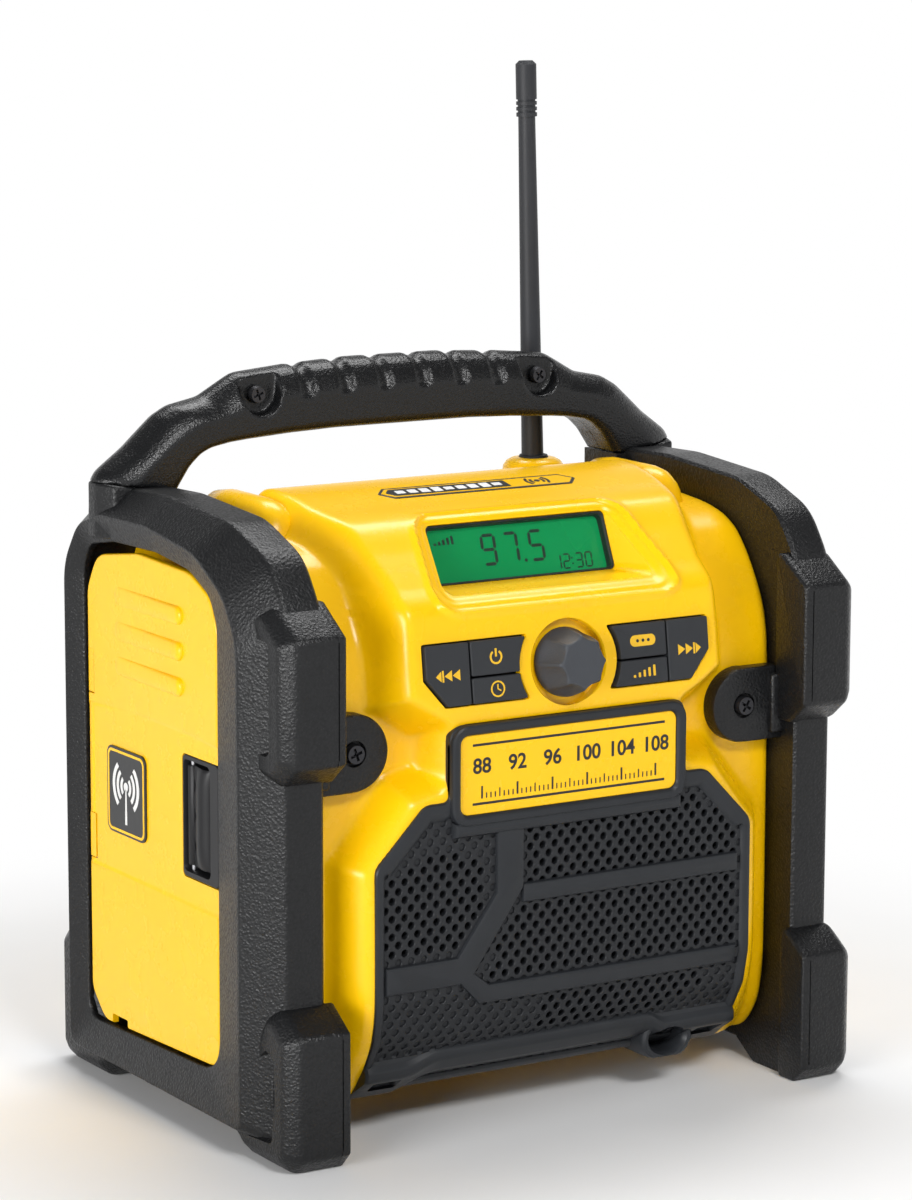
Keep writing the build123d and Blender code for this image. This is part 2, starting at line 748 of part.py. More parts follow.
def guard(points, direction):
    """Foot or bumper block on the right frame, with its outer front edges chamfered."""
    with BuildPart() as piece:
        bar(across(frame_root + seat_gap), [(direction * u, v) for u, v in points], frame_face - frame_root - seat_gap)
        edges = [
            edge
            for edge in piece.edges()
            if edge.center().X > frame_face - 0.01
            and abs(edge.center().Y) > post_reach - 1.0
        ]
        chamfer(edges, foot_chamfer)
    return piece.part


with BuildPart() as right_frame:
    bar(across(frame_root), frame_outline, frame_shoulder - frame_root)
    with BuildSketch(across(frame_shoulder)) as shoulder:
        outline(frame_outline)
    with BuildSketch(across(frame_face)) as face:
        outline(lip_outline)
    loft([shoulder.sketch.face(), face.sketch.face()], ruled=True)
    for direction in (1, -1):
        add(guard(foot_profile, direction))
        bar(across(foot_inner), [(direction * u, v) for u, v in clipped(foot_profile, -housing_back - seat_gap)],
            frame_root + 1.0 - foot_inner)
    add(guard(bumper_profile, 1))
    bar(across(foot_inner), clipped(bumper_profile, -70.0), frame_root + 1.0 - foot_inner)
    # stands for the handle
    block((frame_root, arm_outer), (handle_y - stand_depth / 2, handle_y + stand_depth / 2), (212.0, handle_seat))
    block((arm_inner, frame_root), (handle_y - stand_depth / 2, handle_y + stand_depth / 2),
          (wing_top + 3.0, handle_seat))
    # side opening, then the channel that lightens the frame
    plank(across(frame_root - 1.0), ((opening_front + opening_back) / 2, (opening_bottom + opening_top) / 2),
          (opening_back - opening_front, opening_top - opening_bottom), 40.0, radius=opening_radius,
          mode=Mode.SUBTRACT)
    with BuildSketch(across(frame_root - 1.0)) as channel:
        outline(frame_outline)
        offset(amount=-frame_wall)
        with Locations(((opening_front + opening_back) / 2, (opening_bottom + opening_top) / 2)):
            RectangleRounded(opening_back - opening_front + 2 * frame_wall,
                             opening_top - opening_bottom + 2 * frame_wall,
                             opening_radius + frame_wall, mode=Mode.SUBTRACT)
        with Locations((handle_y, handle_seat)):
            Rectangle(30.0, 40.0, mode=Mode.SUBTRACT)
        with Locations((-lip_front, ear_z)):
            Rectangle(60.0, 36.0, mode=Mode.SUBTRACT)
    extrude(channel.sketch, amount=channel_depth + 1.0, mode=Mode.SUBTRACT)
    # ear that is screwed to the housing
    rod(facing(side_front), ear_radius, side_front - ear_front, [(ear_x, ear_z)])
    block((ear_x, frame_root + 2.0), (ear_front, side_front), (ear_z - ear_radius, ear_z + ear_radius))
    rod(facing(ear_front + ear_recess), screw_head_radius + 0.8, 8.0, [(ear_x, ear_z)], mode=Mode.SUBTRACT)
    rod(facing(side_front + 1.0), screw_radius + fit, 10.0, [(ear_x, ear_z)], mode=Mode.SUBTRACT)
    # pocket for the handle's tongue and hole for its screw
    block((stand_screw_x - 6.0 - seal_gap, stand_screw_x + 6.0 + seal_gap),
          (handle_y - tongue_half - seal_gap, handle_y + tongue_half + seal_gap),
          (stand_screw_z - 7.0, handle_seat + 1.0), mode=Mode.SUBTRACT)
    rod(facing(handle_y), 1.5 + fit, 20.0, [(stand_screw_x, stand_screw_z)], mode=Mode.SUBTRACT)
    rod(facing(handle_y - stand_depth / 2 + stand_recess), 4.2, 20.0, [(stand_screw_x, stand_screw_z)],
        mode=Mode.SUBTRACT)
keep(right_frame, "right_frame")

with BuildPart() as left_frame:
    mirror(right_frame.part, about=Plane.YZ)
keep(left_frame, "left_frame")

# ---------------------------------------------------------------- handle
handle_outline = mirrored([
    (arm_inner, handle_seat), (arm_outer, handle_seat), (127.0, 238.0), (116.0, 243.8), (98.0, 260.0),
    (80.0, 264.8), (66.0, 270.6), (40.0, handle_crown - 0.8),
])
grip_outline = mirrored([(arm_inner, handle_seat - 1.0), (84.5, 242.6), (76.0, 244.6), (40.0, grip_underside)])
handle_screw_places = both_sides(handle_screw_x, handle_screw_z)
stand_screw_places = both_sides(stand_screw_x, stand_screw_z)
with BuildPart() as handle_form:
    bar(facing(handle_y + handle_depth / 2), handle_outline, handle_depth)
    chamfer(handle_form.edges().filter_by(Axis.Y, reverse=True).filter_by(
        lambda edge: edge.center().Z > handle_seat + 1.0), 4.0)
    bar(facing(handle_y + handle_depth / 2 + 1.0), grip_outline, handle_depth + 2.0, mode=Mode.SUBTRACT)
    with BuildSketch(facing(handle_y + handle_depth / 2 - handle_wall)):
        outline(handle_outline)
        Polygon(*grip_outline, align=None, mode=Mode.SUBTRACT)
        offset(amount=-handle_wall)
        with Locations(*handle_screw_places):
            Circle(8.5, mode=Mode.SUBTRACT)
    extrude(amount=handle_depth - 2 * handle_wall, mode=Mode.SUBTRACT)
    # tongues that enter the frames, and their screw holes
    for side in (-1, 1):
        block((side * (stand_screw_x - 6.0), side * (stand_screw_x + 6.0)),
              (handle_y - tongue_half, handle_y + tongue_half), (stand_screw_z - 6.0, handle_seat + 4.0))
    rod(facing(handle_y + 6.0), 1.5 + fit, 12.0, stand_screw_places, mode=Mode.SUBTRACT)
    # D-shaped recesses and holes for the screws that hold the two shells together
    for place in handle_screw_places:
        with BuildSketch(facing(handle_y - handle_depth / 2 + handle_recess)) as recess:
            with Locations(place):
                Circle(6.4)
                with Locations((0, 3.2)):
                    Rectangle(12.8, 3.8)
        extrude(recess.sketch, amount=10.0, mode=Mode.SUBTRACT)
    rod(facing(handle_y + 8.0), 1.6 + fit, 20.0, handle_screw_places, mode=Mode.SUBTRACT)

with BuildPart() as handle_front_shell:
    add(handle_form.part)
    split(bisect_by=Plane.XZ.offset(-handle_y), keep=Keep.TOP)
keep(handle_front_shell, "handle_front_shell")

with BuildPart() as handle_rear_shell:
    add(handle_form.part)
    split(bisect_by=Plane.XZ.offset(-handle_y), keep=Keep.BOTTOM)
keep(handle_rear_shell, "handle_rear_shell")

# ---------------------------------------------------------------- left compartment
opening_centre = ((opening_front + opening_back) / 2, (opening_bottom + opening_top) / 2)
opening_size = (opening_back - opening_front, opening_top - opening_bottom)
ear_spans = [(87.0, 104.0), (151.0, 167.7)]
knuckle_spans = [(66.0, 86.7), (104.3, 150.7), (168.0, 186.0)]
hinge_line = Plane(origin=(hinge_x, hinge_y, 0), x_dir=(1, 0, 0), z_dir=(0, 0, 1))
door_inside = door_face - door_thickness
aux_places = [(20.0, aux_z), (36.0, aux_z)]
with BuildPart() as side_tray:
    # flange that fills the frame's opening
    plank(across(-frame_root - flange_thickness), opening_centre,
          (opening_size[0] - 2 * seal_gap, opening_size[1] - 2 * seal_gap), flange_thickness,
          radius=opening_radius - seal_gap)
    block((-tray_rim, tray_back_x), (tray_front, tray_rear), (tray_bottom, tray_top))
    block((-tray_rim - 1.0, tray_back_x - tray_wall), (tray_front + tray_wall, tray_rear - tray_wall),
          (tray_bottom + tray_wall, tray_top - tray_wall), mode=Mode.SUBTRACT)
    # ears that carry the hinge pin
    for low, high in ear_spans:
        block((-frame_root - 1.0, hinge_x - 2.0), (tray_rear + 1.2, hinge_y + 2.7), (low, high))
    rod(hinge_line.offset(60.0), hinge_pin_radius, 130.0, mode=Mode.SUBTRACT)
    rod(across(tray_back_x - 3.0), aux_radius + fit, 4.0, aux_places, mode=Mode.SUBTRACT)
keep(side_tray, "side_tray")

with BuildPart() as aux_sockets:
    rod(across(tray_back_x - tray_wall - 1.5), aux_radius, 12.0, aux_places)
    rod(across(tray_back_x - tray_wall - 2.0), aux_radius - 2.2, 9.0, aux_places, mode=Mode.SUBTRACT)
keep(aux_sockets, "aux_sockets")

with BuildPart() as door_seal:
    block((-tray_rim, seal_gap - door_inside), (tray_front, tray_rear), (tray_bottom, tray_top))
    block((-door_face, 1.0 - tray_rim), (tray_front + tray_wall, tray_rear - tray_wall),
          (tray_bottom + tray_wall, tray_top - tray_wall), mode=Mode.SUBTRACT)
keep(door_seal, "door_seal")

with BuildPart() as hinge_pin:
    rod(hinge_line.offset(knuckle_spans[0][0]), hinge_pin_radius, knuckle_spans[-1][1] - knuckle_spans[0][0])
keep(hinge_pin, "hinge_pin")

# ---------------------------------------------------------------- left door and its latch
door_outline = [
    (door_back - 12.0, door_bottom), (door_back, door_bottom + 12.0), (door_back, door_top - 20.0),
    (door_back - 12.5, door_top - 4.3), (12.0, door_top),
    (-30.8, door_top - 2.3), (-39.3, door_top - 7.2), (-42.8, door_top - 14.0), (-44.0, door_top - 22.0),
    (door_front, door_top - 34.0), (door_front, door_bottom + 6.0), (door_front + 4.0, door_bottom),
]
latch_centre = ((latch_front + latch_back) / 2, (latch_bottom + latch_top) / 2)
latch_width = latch_back - latch_front
latch_height = latch_top - latch_bottom
with BuildPart() as side_door:
    bar(across(-door_face), door_outline, door_thickness)
    # raised ribs for the fingers
    for rib_z in rib_heights:
        plank(across(-door_face - rib_proud), (rib_centre, rib_z), (rib_length, rib_width), rib_proud + 0.5,
              radius=rib_width / 2 - 0.1)
    for low, high in ear_spans:
        block((-door_face - 1.0, 1.0 - door_inside), (tray_rear - 0.2, door_back + 1.0),
              (low - seal_gap, high + seal_gap), mode=Mode.SUBTRACT)
    for low, high in knuckle_spans:
        rod(hinge_line.offset(low), knuckle_radius, high - low)
    rod(hinge_line.offset(60.0), hinge_pin_radius + hinge_clearance, 130.0, mode=Mode.SUBTRACT)
    plank(across(-door_face - 1.0), latch_centre, (latch_width, latch_height), 6.0, radius=3.0, mode=Mode.SUBTRACT)
keep(side_door, "side_door")

with BuildPart() as side_badge:
    plank(across(-door_face - 0.6), (30.0, 117.0), (31.0, 33.0), 0.6, radius=4.0)
keep(side_badge, "side_badge")

latch_line = Plane(origin=(latch_pin_inset - door_face, latch_back - latch_pin_setback, latch_bottom),
                   x_dir=(1, 0, 0), z_dir=(0, 0, 1))
with BuildPart() as latch_housing:
    plank(across(-door_inside), latch_centre, (latch_width + 4.0, latch_height + 4.0), door_inside - latch_floor,
          radius=4.0)
    plank(across(-door_face), latch_centre, (latch_width - 2 * fit, latch_height - 2 * fit), door_thickness + 1.0,
          radius=3.0)
    plank(across(-door_face - 1.0), latch_centre, (latch_width - 3.0, latch_height - 3.0),
          door_face + 1.0 - latch_floor - 2.0, radius=2.0, mode=Mode.SUBTRACT)
    rod(latch_line.offset(-2.0), latch_pin_radius, latch_height + 4.0, mode=Mode.SUBTRACT)
keep(latch_housing, "latch_housing")

with BuildPart() as latch_pin:
    rod(latch_line.offset(0.5), latch_pin_radius, latch_height - 1.0)
keep(latch_pin, "latch_pin")

with BuildPart() as latch_paddle:
    with BuildSketch(latch_line.offset((latch_height - paddle_height) / 2)):
        Circle(2.2)
        outline([(-2.2, 0.0), (-2.6, -12.0), (-0.6, -19.0), (1.2, -19.0), (0.4, -12.0), (0.8, 0.0)])
    extrude(amount=paddle_height)
    rod(latch_line, latch_pin_radius + hinge_clearance, latch_height, mode=Mode.SUBTRACT)
keep(latch_paddle, "latch_paddle")

# ---------------------------------------------------------------- right cover
with BuildPart() as right_cover:
    bar(across(frame_root), door_outline, door_face - frame_root)
    with BuildSketch(across(frame_root - 1.0)) as hollow:
        outline(door_outline)
        offset(amount=-door_thickness)
    extrude(hollow.sketch, amount=door_inside - frame_root + 1.0, mode=Mode.SUBTRACT)
    for rib_z in rib_heights:
        plank(across(door_face - 0.5), (rib_centre, rib_z), (rib_length, rib_width), rib_proud + 0.5,
              radius=rib_width / 2 - 0.1)
keep(right_cover, "right_cover")

# ---------------------------------------------------------------- top badge
badge_plane = Plane(origin=(0, (crest_y + crest_front_y) / 2, (crest_z + crest_front_z) / 2), x_dir=(1, 0, 0),
                    z_dir=(0, crest_front_z - crest_z, crest_y - crest_front_y))
with BuildPart() as top_badge:
    bar(badge_plane, mirrored([(39.0, -5.5), (43.8, 0.0), (39.0, 5.5)]), 0.5)
keep(top_badge, "top_badge")

# ---------------------------------------------------------------- antenna
lean = radians(antenna_lean)
antenna_foot_z = dome_top - 13.0
antenna_line = Plane(origin=(antenna_x, antenna_y, antenna_foot_z), x_dir=(cos(lean), 0, sin(lean)),
                     z_dir=(-sin(lean), 0, cos(lean)))
whip_length = (antenna_top_z - antenna_foot_z) / cos(lean)
with BuildPart() as antenna_whip:
    with BuildSketch(antenna_line):
        Circle(whip_base_radius)
    with BuildSketch(antenna_line.offset(whip_length - cap_length)):
        Circle(whip_tip_radius)
    loft()
    rod(antenna_line.offset(whip_length - cap_length), cap_radius, cap_length)
    chamfer(antenna_whip.faces().sort_by(Axis.Z)[-1].edges(), 1.4)
    for groove in (1.5, 3.7, 5.9):
        with BuildSketch(antenna_line.offset(whip_length - cap_length + groove)) as ring:
            Circle(cap_radius + 1.0)
            Circle(cap_radius - 0.6, mode=Mode.SUBTRACT)
        extrude(ring.sketch, amount=0.9, mode=Mode.SUBTRACT)
keep(antenna_whip, "antenna_whip")

with BuildPart() as antenna_socket:
    rod(Plane.XY.offset(dome_top - 18.0), socket_radius, 18.0, [(antenna_x, antenna_y)])
    rod(Plane.XY.offset(dome_top), dome_radius - 1.2, 3.0, [(antenna_x, antenna_y)])
    rod(antenna_line, whip_base_radius, 30.0, mode=Mode.SUBTRACT)
keep(antenna_socket, "antenna_socket")

# ---------------------------------------------------------------- battery dock
rear_face = Plane(origin=(0, housing_back, 0), x_dir=(-1, 0, 0), z_dir=(0, 1, 0))
dock_front = pack_front - pack_clearance - dock_wall
pack_channel = (pack_front - pack_clearance, housing_back + dock_flange + 1.0)
board_stands = [(x, y) for x in (-36.0, 36.0) for y in (0.0, 40.0)]
rail_z = pack_top - 10.0
blade_z = rail_z + 2.5
blade_places = [-12.0, 0.0, 12.0]
with BuildPart() as battery_dock:
    block((-dock_half, dock_half), (dock_front, housing_back), (dock_bottom, dock_top))
    block((-dock_half - dock_rim, dock_half + dock_rim), (housing_back, housing_back + dock_flange),
          (dock_bottom - 5.0, dock_top + 5.0))
    block((-pack_half - pack_clearance, pack_half + pack_clearance), pack_channel,
          (pack_bottom - pack_clearance, pack_top + pack_clearance), mode=Mode.SUBTRACT)
    # grooves for the pack's rails
    block((-pack_half - rail_width - pack_clearance, pack_half + rail_width + pack_clearance), pack_channel,
          (rail_z - rail_height / 2 - pack_clearance, rail_z + rail_height / 2 + pack_clearance), mode=Mode.SUBTRACT)
    # stands for the main board
    rod(Plane.XY.offset(dock_top), 3.2, board_stand_height, board_stands)
    rod(Plane.XY.offset(dock_top + 1.0), 1.2 + fit, board_stand_height, board_stands, mode=Mode.SUBTRACT)
    rod(rear_face.offset(-1.0), 1.5 + fit, 6.0, dock_screw_places, mode=Mode.SUBTRACT)
    for x in blade_places:
        block((x - blade_thickness / 2, x + blade_thickness / 2), (dock_front - 1.0, pack_front),
              (blade_z - blade_half_height, blade_z + blade_half_height), mode=Mode.SUBTRACT)
keep(battery_dock, "battery_dock")

with BuildPart() as dock_terminals:
    for x in blade_places:
        block((x - blade_thickness / 2, x + blade_thickness / 2), (dock_front - 4.0, pack_front + blade_reach),
              (blade_z - blade_half_height, blade_z + blade_half_height))
keep(dock_terminals, "dock_terminals")

with BuildPart() as main_board:
    block((-main_board_half, main_board_half), (-12.0, 52.0),
          (dock_top + board_stand_height, dock_top + board_stand_height + board_thickness))
    rod(Plane.XY.offset(dock_top + board_stand_height - 1.0), 1.2 + fit, 4.0, board_stands, mode=Mode.SUBTRACT)
keep(main_board, "main_board")

board_face = Plane.XY.offset(dock_top + board_stand_height + board_thickness)
with BuildPart() as heat_sink:
    plank(board_face, (10.0, 20.0), (36.0, 30.0), 3.0)
    for index in range(6):
        plank(board_face, (-5.5 + 6.2 * index, 20.0), (1.6, 30.0), 17.0)
keep(heat_sink, "heat_sink")

with BuildPart() as board_capacitors:
    rod(board_face, 5.0, 14.0, [(-46.0, 4.0), (-46.0, 20.0), (-46.0, 36.0)])
keep(board_capacitors, "board_capacitors")

# ---------------------------------------------------------------- battery pack
cell_pitch = 2 * cell_radius + 0.4
cell_z = pack_bottom + pack_wall + seal_gap + cell_radius
cell_places = [(pack_front + 4.0 + cell_radius + cell_pitch * index, cell_z) for index in range(cell_count)]
pack_inside = pack_half - pack_wall
with BuildPart() as pack_cells:
    rod(across(-cell_length / 2), cell_radius, cell_length, cell_places)
keep(pack_cells, "pack_cells")

with BuildPart() as pack_case:
    block((-pack_half, pack_half), (pack_front, pack_back), (pack_bottom, pack_split))
    block((-pack_inside, pack_inside), (pack_front + pack_wall, pack_back - pack_wall),
          (pack_bottom + pack_wall, pack_split + 1.0), mode=Mode.SUBTRACT)
    # cradles under the cells
    for x in (-22.0, 22.0):
        block((x - 1.5, x + 1.5), (pack_front + 1.0, pack_back - 1.0), (pack_bottom + 1.0, cell_z - 2.0))
    rod(across(-cell_length / 2), cell_radius + fit, cell_length, cell_places, mode=Mode.SUBTRACT)
keep(pack_case, "pack_case")

button_half = 10.0
button_bottom = pack_top - 11.5
button_top = pack_top - 3.5
with BuildPart() as pack_cover:
    block((-pack_half, pack_half), (pack_front, pack_back), (pack_split, pack_top))
    for side in (-1, 1):
        block((side * (pack_half - 1.0), side * (pack_half + rail_width)), (pack_front, housing_back),
              (rail_z - rail_height / 2, rail_z + rail_height / 2))
    block((-pack_inside, pack_inside), (pack_front + pack_wall, pack_back - pack_wall),
          (pack_split - 1.0, pack_top - pack_wall), mode=Mode.SUBTRACT)
    # slots for the blades and opening for the button
    for x in blade_places:
        block((x - blade_thickness / 2 - seal_gap, x + blade_thickness / 2 + seal_gap),
              (pack_front - 1.0, pack_front + pack_wall + 1.0),
              (blade_z - blade_half_height - seal_gap, blade_z + blade_half_height + seal_gap), mode=Mode.SUBTRACT)
    block((-button_half - seal_gap, button_half + seal_gap), (pack_back - pack_wall - 1.0, pack_back + 1.0),
          (button_bottom - seal_gap, button_top + seal_gap), mode=Mode.SUBTRACT)
keep(pack_cover, "pack_cover")

button_inner = pack_back - pack_wall - seal_gap
with BuildPart() as release_button:
    block((-button_half, button_half), (button_inner - 3.0, pack_back + button_proud), (button_bottom, button_top))
    block((-button_half - 2.0, button_half + 2.0), (button_inner - 3.0, button_inner),
          (button_bottom, button_top))
keep(release_button, "release_button")

# ---------------------------------------------------------------- power inlet
inlet_face = Plane(origin=(inlet_x, housing_back, inlet_z), x_dir=(-1, 0, 0), z_dir=(0, 1, 0))
with BuildPart() as power_inlet:
    rod(inlet_face, inlet_radius + 2.0, 1.6)
    rod(inlet_face, inlet_radius, -14.0)
    rod(inlet_face.offset(2.0), inlet_radius - 2.6, -12.0, mode=Mode.SUBTRACT)
    rod(inlet_face.offset(-11.0), 1.0, 9.0)
keep(power_inlet, "power_inlet")

# ---------------------------------------------------------------- screws
speaker_face = Plane(origin=(0, speaker_back, 0), x_dir=(-1, 0, 0), z_dir=(0, 1, 0))
board_back = Plane(origin=key_plane.offset(-board_depth - board_thickness).origin, x_dir=(-1, 0, 0),
                   z_dir=-key_plane.z_dir)
with BuildPart() as ear_screws:
    pan_screws(facing(ear_front + ear_recess), ear_places, side_front - ear_front - ear_recess + 8.0)
keep(ear_screws, "ear_screws")

with BuildPart() as handle_screws:
    pan_screws(facing(handle_y - handle_depth / 2 + handle_recess), handle_screw_places, 12.0, 3.4, 1.6)
keep(handle_screws, "handle_screws")

with BuildPart() as frame_screws:
    pan_screws(facing(handle_y - stand_depth / 2 + stand_recess), stand_screw_places, 11.0, 3.0, 1.5)
keep(frame_screws, "frame_screws")

with BuildPart() as dock_screws:
    pan_screws(rear_face.offset(dock_flange), dock_screw_places, dock_flange + wall + 3.0, 3.0, 1.5)
keep(dock_screws, "dock_screws")

with BuildPart() as baffle_screws:
    pan_screws(speaker_face, baffle_posts, 8.0, 2.4, 1.2)
keep(baffle_screws, "baffle_screws")

with BuildPart() as speaker_screws:
    pan_screws(speaker_face.offset(1.6), [(-x, z) for x, z in speaker_screw_places], 3.8, 1.6, speaker_screw_radius)
keep(speaker_screws, "speaker_screws")

with BuildPart() as board_screws:
    pan_screws(board_back, board_posts, 6.0, 2.4, 1.2)
keep(board_screws, "board_screws")
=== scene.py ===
"""Visual model of a jobsite radio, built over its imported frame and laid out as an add-on."""

import json
import math

import bmesh
import bpy
import numpy as np
from bpy.props import FloatProperty, FloatVectorProperty, PointerProperty
from mathutils import Matrix, Vector


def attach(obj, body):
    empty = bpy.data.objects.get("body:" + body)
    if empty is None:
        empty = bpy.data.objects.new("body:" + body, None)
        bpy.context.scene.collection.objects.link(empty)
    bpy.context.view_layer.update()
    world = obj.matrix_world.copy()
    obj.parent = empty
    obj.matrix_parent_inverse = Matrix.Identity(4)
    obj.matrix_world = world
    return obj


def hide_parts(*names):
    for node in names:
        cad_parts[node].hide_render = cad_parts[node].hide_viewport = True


bl_info = {
    "name": "Jobsite Radio",
    "version": (1, 0, 0),
    "blender": (4, 5, 0),
    "location": "3D View > Sidebar > Jobsite Radio",
    "description": "Dresses the packed frame of a jobsite radio with its visible pieces, finishes and stage",
    "category": "Object",
}

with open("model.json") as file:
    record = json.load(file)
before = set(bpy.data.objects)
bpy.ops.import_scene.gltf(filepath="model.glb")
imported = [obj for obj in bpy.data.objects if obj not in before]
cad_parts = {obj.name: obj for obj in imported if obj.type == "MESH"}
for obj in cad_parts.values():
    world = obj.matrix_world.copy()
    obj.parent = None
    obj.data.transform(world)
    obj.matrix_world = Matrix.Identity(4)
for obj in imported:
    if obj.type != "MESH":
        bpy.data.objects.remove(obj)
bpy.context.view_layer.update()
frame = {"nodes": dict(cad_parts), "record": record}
MM = 0.001
SIDES = (-1, 1)  # left and right

# ---- sizes shared with the frame, in millimetres
FRAME_ROOT = 103.0
SPLIT_Y = 8.0
SPLIT_GAP = 0.12
WALL = 2.8
KEY_TILT = 7.3
DISPLAY_TILT = 23.6
EAR_PLACE = (85.5, 146.1)
STAND_PLACE = (116.0, 224.0)
ANTENNA_PLACE = (79.3, 68)
PLATE_MIDDLE = 135.4
HANDLE_Y = 48.0
HANDLE_GAP = 0.15
DOOR_BACK, DOOR_FACE = 123.0, 125.5
HINGE_PLACE = (-122.9, 58.8)
LATCH_PLACE = (-122.0, -17.0)
BADGE_MIDDLE = (-30.0, 117.0)
GUARD_ROOT, GUARD_CHAMFER = 102.8, 5.2

# faces that carry printing, measured along the normals of their planes
PLATE_FACE = 80.38
KEY_FACE = 1.58
LCD_FACE = -3.9
LCD_DEPTH = 0.06
BADGE_FACE = 125.72
PRINT_DEPTH = 0.12
STRIP_FACE = 0.44


# ---- planes of the frame
class Board:
    """Flat working plane: an origin, two directions in it and its normal."""

    def __init__(self, origin, across, up):
        self.origin = np.array(origin, float)
        self.u = np.array(across, float)
        self.v = np.array(up, float)
        self.n = np.cross(self.u, self.v)

    def at(self, u, v, height=0.0):
        """Point of the plane, lifted along its normal."""
        return self.origin + self.u * u + self.v * v + self.n * height

    def lift(self, points, height):
        """Many points of the plane, all lifted by the same height."""
        points = np.asarray(points, float)
        return self.origin + points[:, :1] * self.u + points[:, 1:2] * self.v + self.n * height

    def local(self, points):
        """Distances of points along the plane's two directions and its normal."""
        offset = np.asarray(points, float) - self.origin
        return offset @ self.u, offset @ self.v, offset @ self.n


def leaning(y, z, tilt):
    """Plane that faces the front and leans back by a tilt in degrees."""
    tilt = math.radians(tilt)
    return Board((0, y, z), (1, 0, 0), (0, math.sin(tilt), math.cos(tilt)))


def upright(x, y):
    """Level plane whose origin is a place on the ground."""
    return Board((x, y, 0), (1, 0, 0), (0, 1, 0))


def facing(x, z):
    """Plane that faces the front, with a place in it as its origin."""
    return Board((x, 0, z), (1, 0, 0), (0, 0, 1))


KEY_BOARD = leaning(-79.0, 172.7, KEY_TILT)
DISPLAY_BOARD = leaning(-46.5, 210.4, DISPLAY_TILT)
FRONT = facing(0, 0)  # normal is -Y
LEFT = Board((0, 0, 0), (0, -1, 0), (0, 0, 1))  # normal is -X
RIGHT = Board((0, 0, 0), (0, 1, 0), (0, 0, 1))  # normal is +X
BACK = Board((0, 0, 0), (-1, 0, 0), (0, 0, 1))  # normal is +Y
TOP = upright(0, 0)  # normal is +Z


# ---- outlines
def ramp(value):
    """Smooth step from 0 to 1."""
    value = np.clip(value, 0.0, 1.0)
    return value * value * (3 - 2 * value)


def mirrored(half):
    """Right half of an outline followed by its mirror image."""
    return list(half) + [(-u, v) for u, v in reversed(half)]


def sided(points, side):
    """Outline drawn for the right side, or its mirror image in the same sense for the left one."""
    return [(side * u, v) for u, v in points][::side]


def both_ways(half):
    """Values from zero up, with their negatives before them."""
    return np.concatenate([-half[:0:-1], half])


def rectangle(u0, u1, v0, v1):
    """Corners of a rectangle."""
    return [(u0, v0), (u1, v0), (u1, v1), (u0, v1)]


def turn_angles(count):
    """Angles spaced evenly over one turn."""
    return np.linspace(0, 2 * math.pi, count, endpoint=False)


def softened(points, radius, steps=5, closed=True):
    """Outline or path with its corners rounded; radius is one number or one for each corner."""
    points = [np.array(p, float) for p in points]
    radii = [radius] * len(points) if np.isscalar(radius) else radius
    made = []
    for index, corner in enumerate(points):
        if not closed and index in (0, len(points) - 1):
            made.append(corner)
            continue
        before = points[index - 1] - corner
        after = points[(index + 1) % len(points)] - corner
        reach = min(np.linalg.norm(before), np.linalg.norm(after)) * 0.48
        before = before / np.linalg.norm(before)
        after = after / np.linalg.norm(after)
        half_angle = math.acos(np.clip(before @ after, -1, 1)) / 2
        if radii[index] <= 0 or (closed and half_angle > math.radians(89)):
            made.append(corner)
            continue
        trim = min(radii[index] / max(math.tan(half_angle), 1e-6), reach)
        start, end = corner + before * trim, corner + after * trim
        for step in range(steps + 1):
            t = step / steps
            made.append((1 - t) ** 2 * start + 2 * t * (1 - t) * corner + t * t * end)
    return np.array(made)


def box_outline(half_u, half_v, radius, centre=(0, 0), steps=6):
    """Rounded rectangle round a centre."""
    corners = [(half_u, -half_v), (half_u, half_v), (-half_u, half_v), (-half_u, -half_v)]
    made = []
    for index, (u, v) in enumerate(corners):
        middle = (math.copysign(half_u - radius, u), math.copysign(half_v - radius, v))
        for step in range(steps + 1):
            angle = math.radians(90 * (index - 1) + 90 * step / steps)
            made.append((centre[0] + middle[0] + radius * math.cos(angle),
                         centre[1] + middle[1] + radius * math.sin(angle)))
    return np.array(made)


def circle(radius, count=48, centre=(0, 0)):
    """Round outline."""
    angles = turn_angles(count)
    return np.stack([centre[0] + radius * np.cos(angles), centre[1] + radius * np.sin(angles)], 1)


def turned_area(points):
    """Signed area of an outline, positive when it runs anticlockwise."""
    u, v = np.asarray(points, float).T
    return 0.5 * np.sum(u * np.roll(v, -1) - np.roll(u, -1) * v)


def inset(points, amount):
    """Outline moved inwards by an amount at every corner."""
    points = np.asarray(points, float)
    if turned_area(points) < 0:
        return inset(points[::-1], amount if np.isscalar(amount) else amount[::-1])[::-1]
    ahead = np.roll(points, -1, 0) - points
    ahead /= np.maximum(np.linalg.norm(ahead, axis=1, keepdims=True), 1e-9)
    behind = np.roll(ahead, 1, 0)
    normal_a = np.stack([-ahead[:, 1], ahead[:, 0]], 1)
    normal_b = np.stack([-behind[:, 1], behind[:, 0]], 1)
    middle = normal_a + normal_b
    scale = np.maximum((middle * middle).sum(1, keepdims=True), 0.6)
    return points + middle * 2 / scale * (amount if np.isscalar(amount) else np.reshape(amount, (-1, 1)))


def resampled(points, step):
    """Closed outline with points added so that none are further apart than a step."""
    made = []
    points = np.asarray(points, float)
    for index, point in enumerate(points):
        after = points[(index + 1) % len(points)]
        count = max(1, int(math.ceil(np.linalg.norm(after - point) / step)))
        for part in range(count):
            made.append(point + (after - point) * part / count)
    return np.array(made)


